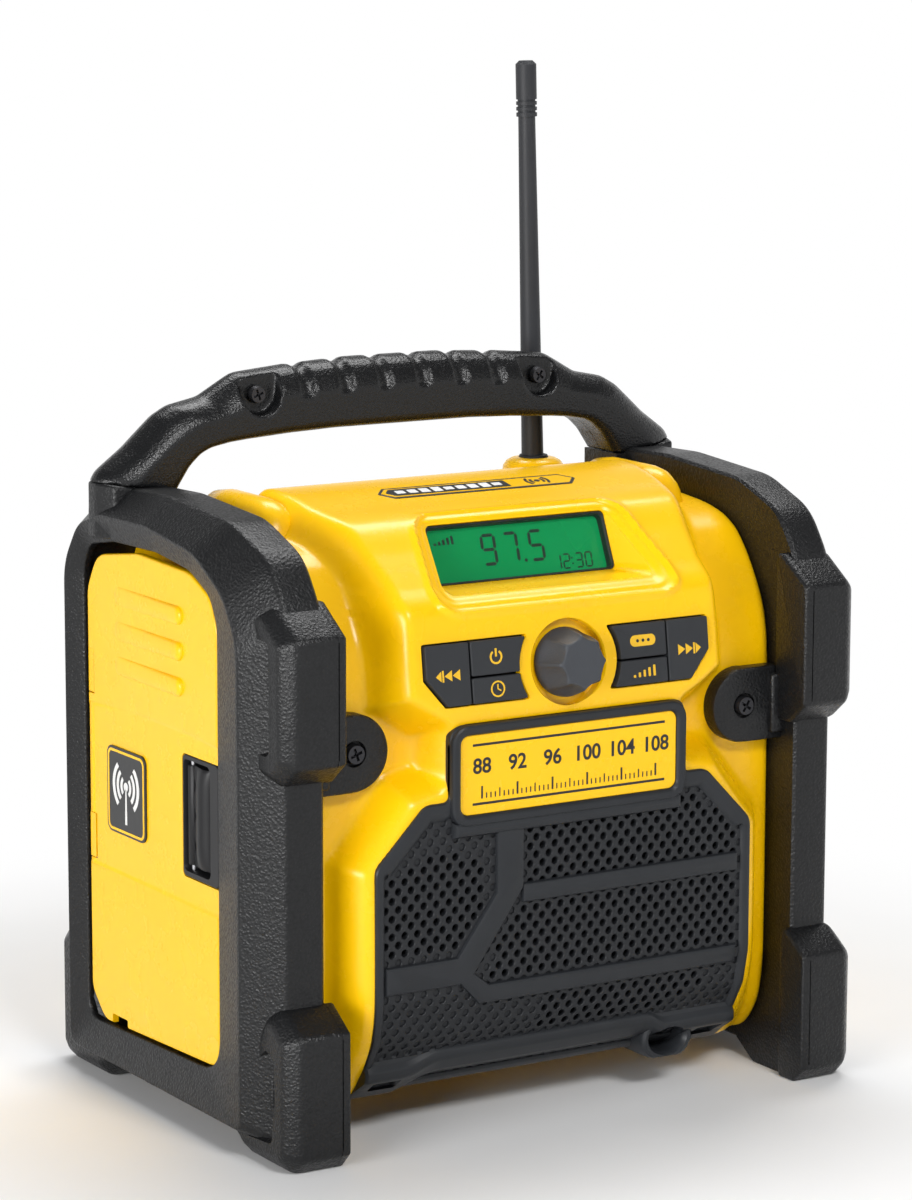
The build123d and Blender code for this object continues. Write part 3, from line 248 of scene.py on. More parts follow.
def nearest_on(points, outline, closed=True):
    """Places on an outline's edges nearest to points, and how far away they are."""
    points, outline = np.asarray(points, float), np.asarray(outline, float)
    ends = np.roll(outline, -1, 0) if closed else outline[1:]
    places, distance = points.copy(), np.full(len(points), 1e9)
    for start, end in zip(outline, ends):
        along = end - start
        share = np.clip(((points - start) @ along) / max(along @ along, 1e-9), 0, 1)
        away = np.linalg.norm(points - start - share[:, None] * along, axis=1)
        places = np.where((away < distance)[:, None], start + share[:, None] * along, places)
        distance = np.minimum(distance, away)
    return places, distance


def evenly(line, count):
    """Points spaced evenly along a line."""
    lengths = np.concatenate([[0], np.cumsum(np.linalg.norm(np.diff(line, axis=0), axis=1))])
    wanted = np.linspace(0, lengths[-1], count)
    return np.stack([np.interp(wanted, lengths, line[:, 0]), np.interp(wanted, lengths, line[:, 1])], 1)


def is_inside(points, outline):
    """Whether points lie inside a closed outline."""
    points, outline = np.asarray(points, float), np.asarray(outline, float)
    inside = np.zeros(len(points), bool)
    for (u0, v0), (u1, v1) in zip(outline, np.roll(outline, -1, 0)):
        if v0 != v1:
            crosses = (v0 > points[:, 1]) != (v1 > points[:, 1])
            inside ^= crosses & (points[:, 0] < (u1 - u0) * (points[:, 1] - v0) / (v1 - v0) + u0)
    return inside


# ---- meshes
def added(name, data):
    """New object in the scene."""
    made = bpy.data.objects.new(name, data)
    bpy.context.scene.collection.objects.link(made)
    return made


def final_mesh(made):
    """Mesh of an object with its modifiers applied."""
    return bpy.data.meshes.new_from_object(made.evaluated_get(bpy.context.evaluated_depsgraph_get()))


def welded(mesh, distance, outward=False):
    """Merges the points of a mesh that lie within a distance in metres, and may turn its faces outwards."""
    work = bmesh.new()
    work.from_mesh(mesh)
    bmesh.ops.remove_doubles(work, verts=work.verts, dist=distance)
    if outward:
        bmesh.ops.recalc_face_normals(work, faces=work.faces)
    work.to_mesh(mesh)
    work.free()


def piece(name, points, faces):
    """New mesh object from points in millimetres."""
    mesh = bpy.data.meshes.new(name)
    mesh.from_pydata((np.asarray(points, float) * MM).tolist(), [], [list(map(int, face)) for face in faces])
    return added(name, mesh)


def soften_shading(made, angle=34.0):
    """Smooth shading with creases above an angle."""
    made.data.shade_smooth()
    made.data.set_sharp_from_angle(angle=math.radians(angle))
    return made


def loft(name, rings, joined=False, smooth_angle=34.0):
    """Skin through rings of equal length, closed at both ends or joined into a loop."""
    rings = np.asarray(rings, float)
    count, size = rings.shape[:2]
    faces = []
    for ring in range(count if joined else count - 1):
        here, there = ring * size, (ring + 1) % count * size
        for index in range(size):
            after = (index + 1) % size
            faces.append((here + index, here + after, there + after, there + index))
    if not joined:
        faces.append(tuple(range(size))[::-1])
        faces.append(tuple((count - 1) * size + index for index in range(size)))
    made = piece(name, rings.reshape(-1, 3), faces)
    welded(made.data, 1e-6, outward=True)
    return soften_shading(made, smooth_angle)


def band(name, rings, smooth_angle=34.0):
    """Closed frame from the outlines that its section passes through, in order round the section."""
    return loft(name, np.array(rings).transpose(1, 0, 2), joined=True, smooth_angle=smooth_angle)


def stepped(name, board, outline, levels):
    """Body with its outline inset by another amount at each height; the levels are (inset, height) pairs."""
    return loft(name, [board.lift(inset(outline, shrink), height) for shrink, height in levels])


def prism(name, board, outline, low, high, edge=0.0, steps=3, low_edge=0.0):
    """Block between two heights over a plane, with its upper and lower rims rounded."""
    levels = []
    if low_edge:
        levels += [(low + low_edge * (1 - math.cos(a)), low_edge * (1 - math.sin(a)))
                   for a in np.linspace(0, math.pi / 2, steps + 1)]
    else:
        levels.append((low, 0.0))
    if edge:
        levels += [(high - edge * (1 - math.sin(a)), edge * (1 - math.cos(a)))
                   for a in np.linspace(0, math.pi / 2, steps + 1)] + [(high, edge * 1.12)]
    else:
        levels.append((high, 0.0))
    rings = [board.lift(inset(outline, shrink) if shrink else outline, height) for height, shrink in levels]
    return loft(name, rings)


def bevelled(made, width, segments=3, angle=20.0, spare=None):
    """Rounds every edge sharper than an angle, except those within a distance of the middle plane."""
    work = bmesh.new()
    work.from_mesh(made.data)
    edges = [e for e in work.edges if len(e.link_faces) == 2 and e.calc_face_angle(0) > math.radians(angle)
             and not (spare and all(abs(v.co.x) < spare * MM for v in e.verts))]
    bmesh.ops.bevel(work, geom=edges, offset=width * MM, segments=segments, profile=0.5, affect="EDGES",
                    clamp_overlap=True)
    work.to_mesh(made.data)
    work.free()
    return soften_shading(made)


def swept(name, x, path, radius, count=18):
    """Tube in the plane of one X, through (Y, Z) points."""
    path = np.array(path, float)
    along = np.gradient(path, axis=0)
    along /= np.linalg.norm(along, axis=1, keepdims=True)
    angles = turn_angles(count)
    rings = [[(x + radius * math.cos(a), p[0] - d[1] * radius * math.sin(a), p[1] + d[0] * radius * math.sin(a))
              for a in angles] for p, d in zip(path, along)]
    return loft(name, rings)


def turned(name, board, profile, count=64):
    """Body of revolution about a plane's normal; the profile is (radius, height) pairs."""
    rings = []
    for radius, height in profile:
        radius = max(radius, 0.001)
        rings.append([board.at(radius * math.cos(a), radius * math.sin(a), height) for a in turn_angles(count)])
    return loft(name, rings)


def settled(made):
    """Turns an object's modifiers into plain mesh."""
    result, old = final_mesh(made), made.data
    made.modifiers.clear()
    made.data = result
    bpy.data.meshes.remove(old)
    made.data.name = made.name
    return made


def joined(name, parts):
    """One object from the meshes of several."""
    work = bmesh.new()
    for part in parts:
        work.from_mesh(part.data)
        bpy.data.objects.remove(part)
    mesh = bpy.data.meshes.new(name)
    work.to_mesh(mesh)
    work.free()
    return soften_shading(added(name, mesh))


def carved(made, *tools, operation="DIFFERENCE"):
    """Cuts a solid with others, or joins them to it, and removes them."""
    for tool in tools:
        for solver in ("MANIFOLD", "EXACT"):
            step = made.modifiers.new("carve", "BOOLEAN")
            step.operation, step.object, step.solver = operation, tool, solver
            result = final_mesh(made)
            made.modifiers.clear()
            if len(result.polygons):
                break
            bpy.data.meshes.remove(result)
        else:
            raise RuntimeError(f"carving {made.name} with {tool.name} left nothing")
        bpy.data.objects.remove(tool)
        made.data = result
        made.data.name = made.name
        soften_shading(made)
    return made


def united(made, *others):
    """One solid from several."""
    return carved(made, *others, operation="UNION")


def rounded_over(name, solid, voxel):
    """Solid with all its edges softly rounded by a fine grid."""
    made = joined(name, [solid])
    step = made.modifiers.new("skin", "REMESH")
    step.mode, step.voxel_size, step.use_smooth_shade = "VOXEL", voxel * MM, True
    soft = made.modifiers.new("soft", "SMOOTH")
    soft.factor, soft.iterations = 0.5, 1
    settled(made)
    made.data.shade_smooth()
    return made


def reflected(made, name):
    """Mirror image of a piece on the other side of the radio."""
    mesh = made.data.copy()
    mesh.transform(Matrix.Scale(-1, 4, (1, 0, 0)))
    mesh.flip_normals()
    return added(name, mesh)


def block(x, y, z):
    """Plain box for carving."""
    return prism("block", TOP, rectangle(*x, *y), *z)


def dress(made, finish, body, *nodes, slot=None):
    """Gives a piece its finish and its body, and hides the frame nodes it stands for; its slot is not used."""
    made.data.materials.clear()
    made.data.materials.append(FINISHES[finish])
    for polygon in made.data.polygons:
        polygon.material_index = 0
    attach(made, body)
    if nodes:
        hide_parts(*nodes)
    return made


def dress_node(node, material):
    """Gives a frame node a better finish."""
    mesh = frame["nodes"][node].data
    if not mesh.materials:
        mesh.materials.append(material)
    for index in range(len(mesh.materials)):
        mesh.materials[index] = material


# ---- finishes
class Value:
    """Socket of a material that can be used in sums."""

    def __init__(self, finish, socket):
        self.finish = finish
        self.socket = socket

    def sum(self, operation, first, second):
        made = self.finish.node("ShaderNodeMath", {"operation": operation}, {0: first, 1: second})
        return Value(self.finish, made.outputs[0])

    def __add__(self, other):
        return self.sum("ADD", self, other)

    def __sub__(self, other):
        return self.sum("SUBTRACT", self, other)

    def __rsub__(self, other):
        return self.sum("SUBTRACT", other, self)

    def __mul__(self, other):
        return self.sum("MULTIPLY", self, other)

    def __pow__(self, other):
        return self.sum("POWER", self, other)

    __radd__, __rmul__ = __add__, __mul__


class Graph:
    """Node tree that is built one call to a node."""

    tree = None

    def node(self, kind, settings=None, inputs=None):
        """Any node: its settings first, then the values or links of its sockets."""
        made = self.tree.nodes.new(kind)
        for key, value in (settings or {}).items():
            setattr(made, key, value)
        for key, value in (inputs or {}).items():
            self.feed(made.inputs[key], value)
        return made

    def feed(self, socket, value):
        """Links or sets one socket."""
        if isinstance(value, Value):
            value = value.socket
        if isinstance(value, bpy.types.NodeSocket):
            self.tree.links.new(value, socket)
        else:
            socket.default_value = value


class Finish(Graph):
    """Material with a Principled shader whose patterns read object coordinates."""

    def __init__(self, name):
        self.material = bpy.data.materials.new(name)
        self.material.use_nodes = True
        self.tree = self.material.node_tree
        self.shader = self.tree.nodes["Principled BSDF"]
        self.place = self.node("ShaderNodeTexCoord").outputs["Object"]

    def set(self, **constants):
        """Numbers and colours that are the same all over, on the shader's own sockets."""
        for key, value in constants.items():
            self.shader.inputs[key.replace("_", " ")].default_value = value

    def noise(self, size, detail=2.0, roughness=0.5, place=None):
        """Soft noise with lumps of a size in millimetres."""
        made = self.node("ShaderNodeTexNoise", {"noise_dimensions": "3D"},
                         {"Vector": place or self.place, "Scale": 1000.0 / size, "Detail": detail,
                          "Roughness": roughness})
        return Value(self, made.outputs["Fac"])

    def cells(self, size, feature):
        """Cell pattern with cells of a size in millimetres."""
        made = self.node("ShaderNodeTexVoronoi", {"feature": feature}, {"Vector": self.place, "Scale": 1000.0 / size})
        return Value(self, made.outputs["Distance"])

    def axis(self, index):
        """One object coordinate in metres."""
        made = self.node("ShaderNodeSeparateXYZ", {}, {0: self.place})
        return Value(self, made.outputs[index])

    def between(self, mask, low, high):
        """Colour that goes from one to another as a mask rises."""
        made = self.node("ShaderNodeMix", {"data_type": "RGBA"}, {0: mask, 6: (*low, 1.0), 7: (*high, 1.0)})
        return made.outputs[2]

    def level(self, value, low, high):
        """Value mapped from a range to 0..1."""
        made = self.node("ShaderNodeMapRange", {"interpolation_type": "SMOOTHSTEP"},
                         {"Value": value, "From Min": low, "From Max": high})
        return Value(self, made.outputs["Result"])

    def bump(self, height, depth, strength=1.0):
        """Relief of a depth in millimetres under the shader's normal."""
        made = self.node("ShaderNodeBump", {}, {"Height": height, "Distance": depth * MM, "Strength": strength})
        self.feed(self.shader.inputs["Normal"], made.outputs["Normal"])

    def colour(self, value):
        self.feed(self.shader.inputs["Base Color"], value)

    def rough(self, value):
        self.feed(self.shader.inputs["Roughness"], value)


FINISHES = {}


def shade(colour, factor, lift=0.0):
    """Colour made lighter or darker."""
    return tuple(c * factor + lift for c in colour)


def moulded_yellow(name, colour):
    """Glossy moulded plastic with a faint flow pattern and light handling marks."""
    finish = Finish(name)
    finish.set(IOR=1.5, Specular_IOR_Level=0.42)
    drift = finish.noise(55.0, 2.0)
    fine = finish.noise(9.0, 3.0)
    deep = tuple(c * f for c, f in zip(colour, (0.955, 0.925, 0.9)))
    finish.colour(finish.between(drift * 0.7 + fine * 0.3, deep, colour))
    finish.rough(0.22 + finish.noise(16.0, 4.0, 0.6) * 0.1)
    finish.bump(finish.noise(1.6, 2.0) * 0.6 + finish.noise(7.0, 2.0), 0.008, 0.35)
    return finish.material


def grained_black(name, colour, grain, depth, rough):
    """Charcoal plastic with a fine sand grain, its colour lighter on the grain's high spots as painted glints and a
    little lighter in random patches.
    """
    finish = Finish(name)
    finish.set(IOR=1.5, Specular_IOR_Level=0.34)
    pebble = finish.cells(grain, "SMOOTH_F1")
    dust = finish.noise(grain * 0.9, 2.0, 0.6)
    patches = finish.noise(22.0, 3.0)
    crown = finish.level(pebble, 0.2, 0.75)
    # painted glints: the grain's high spots get a lighter colour that stands in for light caught on them; the random
    # patches are the plastic's own tone
    lighter = tuple(min(1.0, c * 2.0 + 0.003) for c in colour)
    finish.colour(finish.between((1 - crown) * 0.5 + patches * 0.25, colour, lighter))
    finish.rough(rough + crown * 0.16 + patches * 0.06 - 0.14)
    finish.bump((1 - pebble) * 0.8 + dust * 0.7, depth, 1.0)
    return finish.material


def satin_black(name, colour, rough, depth):
    """Satin moulded plastic with an even, very fine texture."""
    finish = Finish(name)
    finish.set(IOR=1.5, Specular_IOR_Level=0.3)
    fine = finish.noise(0.55, 2.0)
    patches = finish.noise(14.0, 3.0)
    finish.colour(finish.between(patches * 0.6 + fine * 0.3, colour, shade(colour, 1.55, 0.004)))
    finish.rough(rough + fine * 0.12 + patches * 0.1)
    finish.bump(fine, depth, 0.6)
    return finish.material


def plain_metal(name, colour, rough, metallic):
    """Turned or plated metal with fine marks."""
    finish = Finish(name)
    finish.set(Metallic=metallic, IOR=1.6)
    stretched = finish.node("ShaderNodeMapping", {}, {"Vector": finish.place, "Scale": (1.0, 1.0, 14.0)})
    marks = finish.noise(3.0, 3.0, 0.6, stretched.outputs[0])
    spots = finish.noise(5.0, 3.0)
    finish.colour(finish.between(marks * 0.5 + spots * 0.5, shade(colour, 0.78), colour))
    finish.rough(rough + marks * 0.16)
    finish.bump(marks, 0.01, 0.6)
    return finish.material


def circuit_green(name, colour):
    """Solder mask with faint tracks under it."""
    finish = Finish(name)
    finish.set(IOR=1.5, Coat_Weight=0.3, Coat_Roughness=0.1)
    tracks = finish.node("ShaderNodeTexBrick", {"offset": 0.5}, {"Vector": finish.place, "Scale": 180.0,
                                                                "Mortar Size": 0.012})
    lines = Value(finish, tracks.outputs["Fac"])
    finish.colour(finish.between(lines * 0.7 + finish.noise(8.0) * 0.2, colour, shade(colour, 2.2)))
    finish.rough(0.3 + finish.noise(4.0) * 0.15)
    finish.bump(lines, 0.03, 0.5)
    return finish.material


def paper_cone(name, colour):
    """Pulp cone with concentric corrugations broken up by fibres."""
    finish = Finish(name)
    fibres = finish.noise(1.4, 4.0, 0.7)
    finish.colour(finish.between(fibres, colour, shade(colour, 1.8)))
    finish.rough(0.72 + fibres * 0.15)
    finish.bump(fibres, 0.08, 0.7)
    return finish.material


def backlit_green(name, colour):
    """Lit liquid crystal: an even green, a little darker in soft random clouds, with a faint fine weave."""
    finish = Finish(name)
    finish.set(IOR=1.45, Emission_Strength=0.25)
    cloud = finish.noise(30.0, 1.0)
    weave = finish.node("ShaderNodeTexChecker", {}, {"Vector": finish.place, "Scale": 2200.0})
    mask = cloud * 0.75 + Value(finish, weave.outputs["Fac"]) * 0.12
    finish.colour(finish.between(mask, shade(colour, 0.8), colour))
    finish.feed(finish.shader.inputs["Emission Color"], finish.between(mask, shade(colour, 0.8), colour))
    finish.rough(0.22 + cloud * 0.08)
    return finish.material


def printed(name, colour, rough):
    """Thin opaque ink with slightly uneven cover."""
    finish = Finish(name)
    spread = finish.noise(2.4, 3.0)
    finish.colour(finish.between(spread, shade(colour, 0.86), colour))
    finish.rough(rough + spread * 0.14)
    finish.bump(finish.noise(0.5, 1.0), 0.008, 0.5)
    return finish.material


def clear_window(name):
    """Clear moulded window that shows the panel behind it."""
    finish = Finish(name)
    finish.set(IOR=1.49, Alpha=0.1, Specular_IOR_Level=0.3)
    smear = finish.noise(18.0, 3.0)
    finish.colour(finish.between(smear, (0.01, 0.05, 0.03), (0.02, 0.08, 0.05)))
    finish.rough(0.03 + smear * 0.05)
    return finish.material


# slot: name, colour, roughness and depth of the relief in millimetres
SATIN = {
    "grille_black": ("Grille charcoal", (0.013, 0.0145, 0.017), 0.3, 0.05),
    "mesh_black": ("Perforated charcoal", (0.010, 0.011, 0.013), 0.34, 0.04),
    "latch_black": ("Latch black", (0.008, 0.008, 0.009), 0.3, 0.03),
    "key_grey": ("Key grey", (0.018, 0.0195, 0.022), 0.42, 0.03),
    "knob_black": ("Knob charcoal", (0.038, 0.041, 0.047), 0.36, 0.16),
    "light_guide_white": ("Milky guide", (0.62, 0.68, 0.64), 0.4, 0.03),
    "mat_rubber": ("Mat rubber", (0.03, 0.03, 0.03), 0.6, 0.05),
    "part_black": ("Part black", (0.009, 0.009, 0.01), 0.42, 0.03),
    "magnet_iron": ("Ferrite", (0.05, 0.05, 0.055), 0.55, 0.1),
    "antenna_rubber": ("Antenna sleeve", (0.018, 0.019, 0.022), 0.36, 0.03),
    "cell_wrap": ("Cell sleeve", (0.02, 0.09, 0.3), 0.3, 0.03),
    "button_black": ("Button black", (0.02, 0.02, 0.021), 0.4, 0.03),
}
# slot: name, colour, roughness and share of metal
METAL = {
    "steel": ("Ground steel", (0.52, 0.52, 0.54), 0.26, 1.0),
    "screw_black": ("Black oxide", (0.05, 0.05, 0.055), 0.34, 0.85),
    "screw_steel": ("Zinc plate", (0.6, 0.61, 0.64), 0.28, 1.0),
    "sink_aluminium": ("Extruded aluminium", (0.72, 0.73, 0.75), 0.34, 1.0),
    "basket_steel": ("Lacquered basket", (0.05, 0.05, 0.055), 0.42, 0.6),
    "terminal_brass": ("Plated brass", (0.72, 0.52, 0.22), 0.24, 1.0),
}
# slot: name, colour and roughness
INK = {
    "badge_black": ("Badge black", (0.012, 0.012, 0.013), 0.28),
    "badge_white": ("Badge white", (0.86, 0.86, 0.84), 0.4),
    "scale_ink": ("Scale black", (0.012, 0.012, 0.012), 0.34),
    "segment_ink": ("Segment green", (0.0, 0.028, 0.012), 0.5),
}


def make_finishes(sizes):
    """All finishes of the radio, by slot."""
    yellow, black = tuple(sizes.housing_colour), tuple(sizes.frame_colour)
    for maker, rows in ((satin_black, SATIN), (plain_metal, METAL), (printed, INK)):
        FINISHES.update({slot: maker(*row) for slot, row in rows.items()})
    FINISHES.update(
        housing_yellow=moulded_yellow("Moulded yellow", yellow),
        plate_yellow=moulded_yellow("Scale plate yellow", yellow),
        pack_yellow=moulded_yellow("Pack yellow", yellow),
        frame_black=grained_black("Grained black", black, sizes.grain, 0.26, 0.42),
        handle_black=grained_black("Grip black", black, sizes.grain * 0.85, 0.14, 0.34),
        dock_black=grained_black("Dock black", black, 1.1, 0.08, 0.46),
        pack_black=grained_black("Pack black", black, 0.8, 0.1, 0.44),
        legend_ink=printed("Legend yellow", tuple(sizes.legend_colour), 0.4),
        lens_clear=clear_window("Clear window"),
        lcd_green=backlit_green("Backlit green", tuple(sizes.display_colour)),
        board_green=circuit_green("Solder mask", (0.012, 0.11, 0.04)),
        cone_paper=paper_cone("Cone paper", (0.035, 0.035, 0.038)),
    )


# ---- repeated shapes
class Pattern(Graph):
    """Geometry node tree with named inputs that repeats a shape over a base mesh."""

    def __init__(self, name):
        self.tree = bpy.data.node_groups.new(name, "GeometryNodeTree")
        for way in ("INPUT", "OUTPUT"):
            self.tree.interface.new_socket("Geometry", in_out=way, socket_type="NodeSocketGeometry")
        self.source = self.tree.nodes.new("NodeGroupInput")
        self.sink = self.tree.nodes.new("NodeGroupOutput")
        self.values = {}

    def input(self, name, value, kind="NodeSocketFloat"):
        """Named input and the value it is given."""
        socket = self.tree.interface.new_socket(name, in_out="INPUT", socket_type=kind)
        self.values[socket.identifier] = value
        return self.source.outputs[name]

    def stored(self, name, kind="FLOAT_VECTOR"):
        """Value that each place carries under a name."""
        return self.node("GeometryNodeInputNamedAttribute", {"data_type": kind}, {"Name": name}).outputs[0]

    def shape(self, label, made):
        """Geometry of an object that the tree takes as an input."""
        source = self.input(label, made, "NodeSocketObject")
        return self.node("GeometryNodeObjectInfo", {}, {"Object": source}).outputs["Geometry"]

    def height(self, label):
        """Scale along a shape's own height, with its factor as an input."""
        return self.node("ShaderNodeCombineXYZ", {}, {0: 1.0, 1: 1.0, 2: self.input(label, 1.0)}).outputs[0]

    def laid(self, shape, **inputs):
        """The shape on every place of the base mesh."""
        sockets = {"Points": self.source.outputs[0], "Instance": shape, **inputs}
        return self.node("GeometryNodeInstanceOnPoints", {}, sockets).outputs[0]

    def spread(self, name, places, shape, **stored):
        """One plain mesh from the shapes on all places; the stored values are numbers or vectors for each place."""
        realised = self.node("GeometryNodeRealizeInstances", {}, {0: shape})
        self.feed(self.sink.inputs[0], realised.outputs[0])
        mesh = bpy.data.meshes.new(name)
        mesh.from_pydata((np.asarray(places, float) * MM).tolist(), [], [])
        for key, values in stored.items():
            values = np.asarray(values, np.float32)
            kind, field = ("FLOAT", "value") if values.ndim == 1 else ("FLOAT_VECTOR", "vector")
            mesh.attributes.new(key, kind, "POINT").data.foreach_set(field, values.ravel())
        made = added(name, mesh)
        step = made.modifiers.new(name, "NODES")
        step.node_group = self.tree
        for identifier, value in self.values.items():
            step[identifier] = value
        return soften_shading(settled(made))


def facing_turn(u, v, n):
    """Rotation that lays a shape's own axes along three directions."""
    return Matrix([u, v, n]).transposed().to_euler()


def screw_heads(name, board, places, radius, height, node):
    """Pan heads with a cross recess, all facing along a plane's normal; the recesses point in different ways."""
    pattern = Pattern(name)
    head_radius = pattern.input("Head radius", radius * MM)
    head_height = pattern.input("Head height", height * MM)
    slot_length = pattern.input("Slot length", radius * 1.25 * MM)
    slot_width = pattern.input("Slot width", radius * 0.27 * MM)

    def times(value, factor):
        return pattern.node("ShaderNodeMath", {"operation": "MULTIPLY"}, {0: value, 1: factor}).outputs[0]

    def vector(*parts):
        return pattern.node("ShaderNodeCombineXYZ", {}, dict(enumerate(parts))).outputs[0]

    rim = pattern.node("GeometryNodeMeshCone", {}, {
        "Vertices": 32, "Side Segments": 1, "Radius Top": times(head_radius, 0.86),
        "Radius Bottom": times(head_radius, 1.0), "Depth": head_height})
    cut = pattern.node("GeometryNodeMeshBoolean", {"operation": "DIFFERENCE"}, {"Mesh 1": rim.outputs[0]})
    for size in ((slot_length, slot_width), (slot_width, slot_length)):
        bar = pattern.node("GeometryNodeMeshCube", {}, {"Size": vector(*size, head_height)})
        moved = pattern.node("GeometryNodeTransform", {}, {
            "Geometry": bar.outputs[0], "Translation": vector(0.0, 0.0, times(head_height, 0.9))})
        pattern.feed(cut.inputs["Mesh 2"], moved.outputs[0])
    turns = []
    for index in range(len(places)):
        angle = math.radians(20.0 + 37.0 * index)
        turns.append(facing_turn(board.u * math.cos(angle) + board.v * math.sin(angle),
                                 -board.u * math.sin(angle) + board.v * math.cos(angle), board.n))
    shape = pattern.laid(cut.outputs[0], Rotation=pattern.stored("turn"))
    return dress(pattern.spread(name, places, shape, turn=turns), "screw_black", "radio", node)


# ---- yellow housing
# each knot: point of the console's section, point of the wing's section, half width of the console there
HOUSING_KNOTS = [
    ((-56, 14), (-50, 14), 93), ((-68, 26), (-60, 25), 93), ((-76, 40), (-63.5, 40), 93),
    ((-78.8, 54), (-64, 54), 93), ((-78.8, 106), (-64, 106), 93), ((-78.8, 133.5), (-64, 133.5), 70),
    ((-78.8, 136.5), (-64, 136.5), 57), ((-78.8, 150), (-64, 150), 57), ((-80.4, 161.4), (-63.5, 161.4), 74.5),
    ((-79, 173), (-62.5, 173), 74.5), ((-77.5, 184), (-59.5, 184), 74.5), ((-74.6, 196), (-53.5, 195), 74.5),
    ((-66, 203.5), (-48, 203), 74.5), ((-54, 213.5), (-41.5, 209.8), 77), ((-42, 223.4), (-33, 214.4), 80),
    ((-26, 227.4), (-22, 217), 84), ((-6, 231.2), (-6, 218.6), 86), ((10, 230.7), (10, 219.4), 86),
    ((22, 218.5), (22, 219.8), 78), ((33, 206), (33, 220.3), 74.5), ((46, 205.6), (46, 220.8), 74.5),
    ((58, 206), (58, 221), 74.5), ((68, 206), (66.5, 219), 74.5), ((74, 204), (73, 213.5), 74.5),
    ((76, 198), (76, 203), 74.5), ((76, 120), (76, 120), 74.5), ((76, 22), (76, 22), 74.5),
    ((68, 14), (68, 14), 74.5), ((0, 14), (0, 14), 80),
]


def funnel_size(height):
    """Half width, half height, corner radius and centre of the display's recess at a height over the display."""
    share = height / 24.0
    return 39.4 + 11.1 * share, 11.5 + 7.1 * share, 2.6 + 3.4 * share, -4.6 * share


def funnel_outline(height, growth=0.0):
    """Outline of the display's recess at a height over the display, grown by an amount."""
    half_u, half_v, radius, centre = funnel_size(height)
    return box_outline(half_u + growth, half_v + growth, radius + growth, (0, centre), 5)


def funnel_distance(points):
    """How far points of the console's skin are from the recess's rim, in the display's plane."""
    u, v, height = DISPLAY_BOARD.local(points)
    half_u, half_v, radius, centre = funnel_size(height)
    past_u = np.abs(u) - half_u + radius
    past_v = np.abs(v - centre) - half_v + radius
    outside = np.hypot(np.maximum(past_u, 0), np.maximum(past_v, 0))
    return outside + np.minimum(np.maximum(past_u, past_v), 0) - radius, height


def on_curve(p0, p1, p2, p3, t):
    """Point between the second and third of four knots on a smooth curve through them."""
    size = np.linalg.norm(p2 - p1)
    m1 = (p2 - p0) / max(np.linalg.norm(p1 - p0) + size, 1e-6) * size * 0.85
    m2 = (p3 - p1) / max(np.linalg.norm(p3 - p2) + size, 1e-6) * size * 0.85
    return ((2 * t ** 3 - 3 * t * t + 1) * p1 + (t ** 3 - 2 * t * t + t) * m1
            + (3 * t * t - 2 * t ** 3) * p2 + (t ** 3 - t * t) * m2)


def housing_form(name, shrink, step, columns):
    """Closed form of the housing: console and lower panel blended into the wings."""
    console, wing, reach = [], [], []
    count = len(HOUSING_KNOTS)
    for index in range(count):
        around = [HOUSING_KNOTS[(index + shift) % count] for shift in (-1, 0, 1, 2)]
        lengths = [np.hypot(*np.subtract(around[2][side], around[1][side])) for side in (0, 1)]
        # fine from the keys to the top, coarser low in front and behind, coarsest at the back and below
        spacing = step if 7 <= index <= 18 else step * (1.9 if index < 24 else 4)
        pieces = max(1, int(math.ceil(max(lengths) / spacing)))
        for part in range(pieces):
            t = part / pieces
            for side, target in ((0, console), (1, wing)):
                target.append(on_curve(*(np.array(knot[side], float) for knot in around), t))
            reach.append(around[1][2] * (1 - t) + around[2][2] * t)
    console, wing, reach = np.array(console), np.array(wing), np.array(reach) - shrink
    # 0 on the lower panel, where the console's edge is crisp, and 1 or more above it and behind, where it is soft
    upper = np.clip((console[:, 1] - 112.0) / 30.0, 0, 1) + (console[:, 0] > 0)
    if shrink:
        console, wing = inset(console, shrink), inset(wing, shrink)
    along = np.concatenate([[0], np.cumsum(np.linalg.norm(np.diff(console, axis=0), axis=1))])
    boundary = np.stack([reach, along], 1)
    rings = []
    for x in columns:
        place = np.stack([np.full(len(along), abs(x)), along], 1)
        distance = nearest_on(place, boundary, closed=False)[1] * np.where(abs(x) < reach, 1, -1)
        u = np.clip((distance + 1.5) / 11.5, 0, 1)
        crisp = 0.5 * (1 - (1 - u) ** 2.4) + 0.5 * ramp(u)
        soft = ramp(np.clip((distance + 4.0) / 13.0, 0, 1))
        weight = (crisp * (1 - np.minimum(upper, 1)) + soft * np.minimum(upper, 1))[:, None]
        ring = wing + (console - wing) * weight
        rim = max(0.0, (abs(x) - (FRAME_ROOT - shrink) + 4.0) / 4.0)
        if rim and not shrink:
            ring = inset(ring, 4.0 * (1 - math.sqrt(max(0.0, 1 - rim * rim))))
        rings.append(np.stack([np.full(len(ring), x), ring[:, 0], ring[:, 1]], 1))
    rings = np.array(rings)
    if not shrink:
        flat = rings.reshape(-1, 3)
        away, height = funnel_distance(flat)
        near = (height > -2) & (flat[:, 1] < -20) & (away < 12)
        bead_height = 1.15 * np.cos(np.clip((away - 5.4) / 2.2, -1, 1) * math.pi / 2) ** 2
        step_in = 0.8 * (1 - ramp((away - 3.0) / 2.4)) + 1.5 * np.clip(1 - away / 2.6, 0, 1) ** 2 - bead_height
        flat[near] -= DISPLAY_BOARD.n * step_in[near, None]
        rings = flat.reshape(rings.shape)
    return loft(name, rings[::-1], smooth_angle=40)


def scoop(x):
    """Share by which the housing's lower front edge is raised at a place across."""
    return float(ramp((x + 66.0) / 17.0) * (1 - ramp((x - 41.0) / 9.0)))


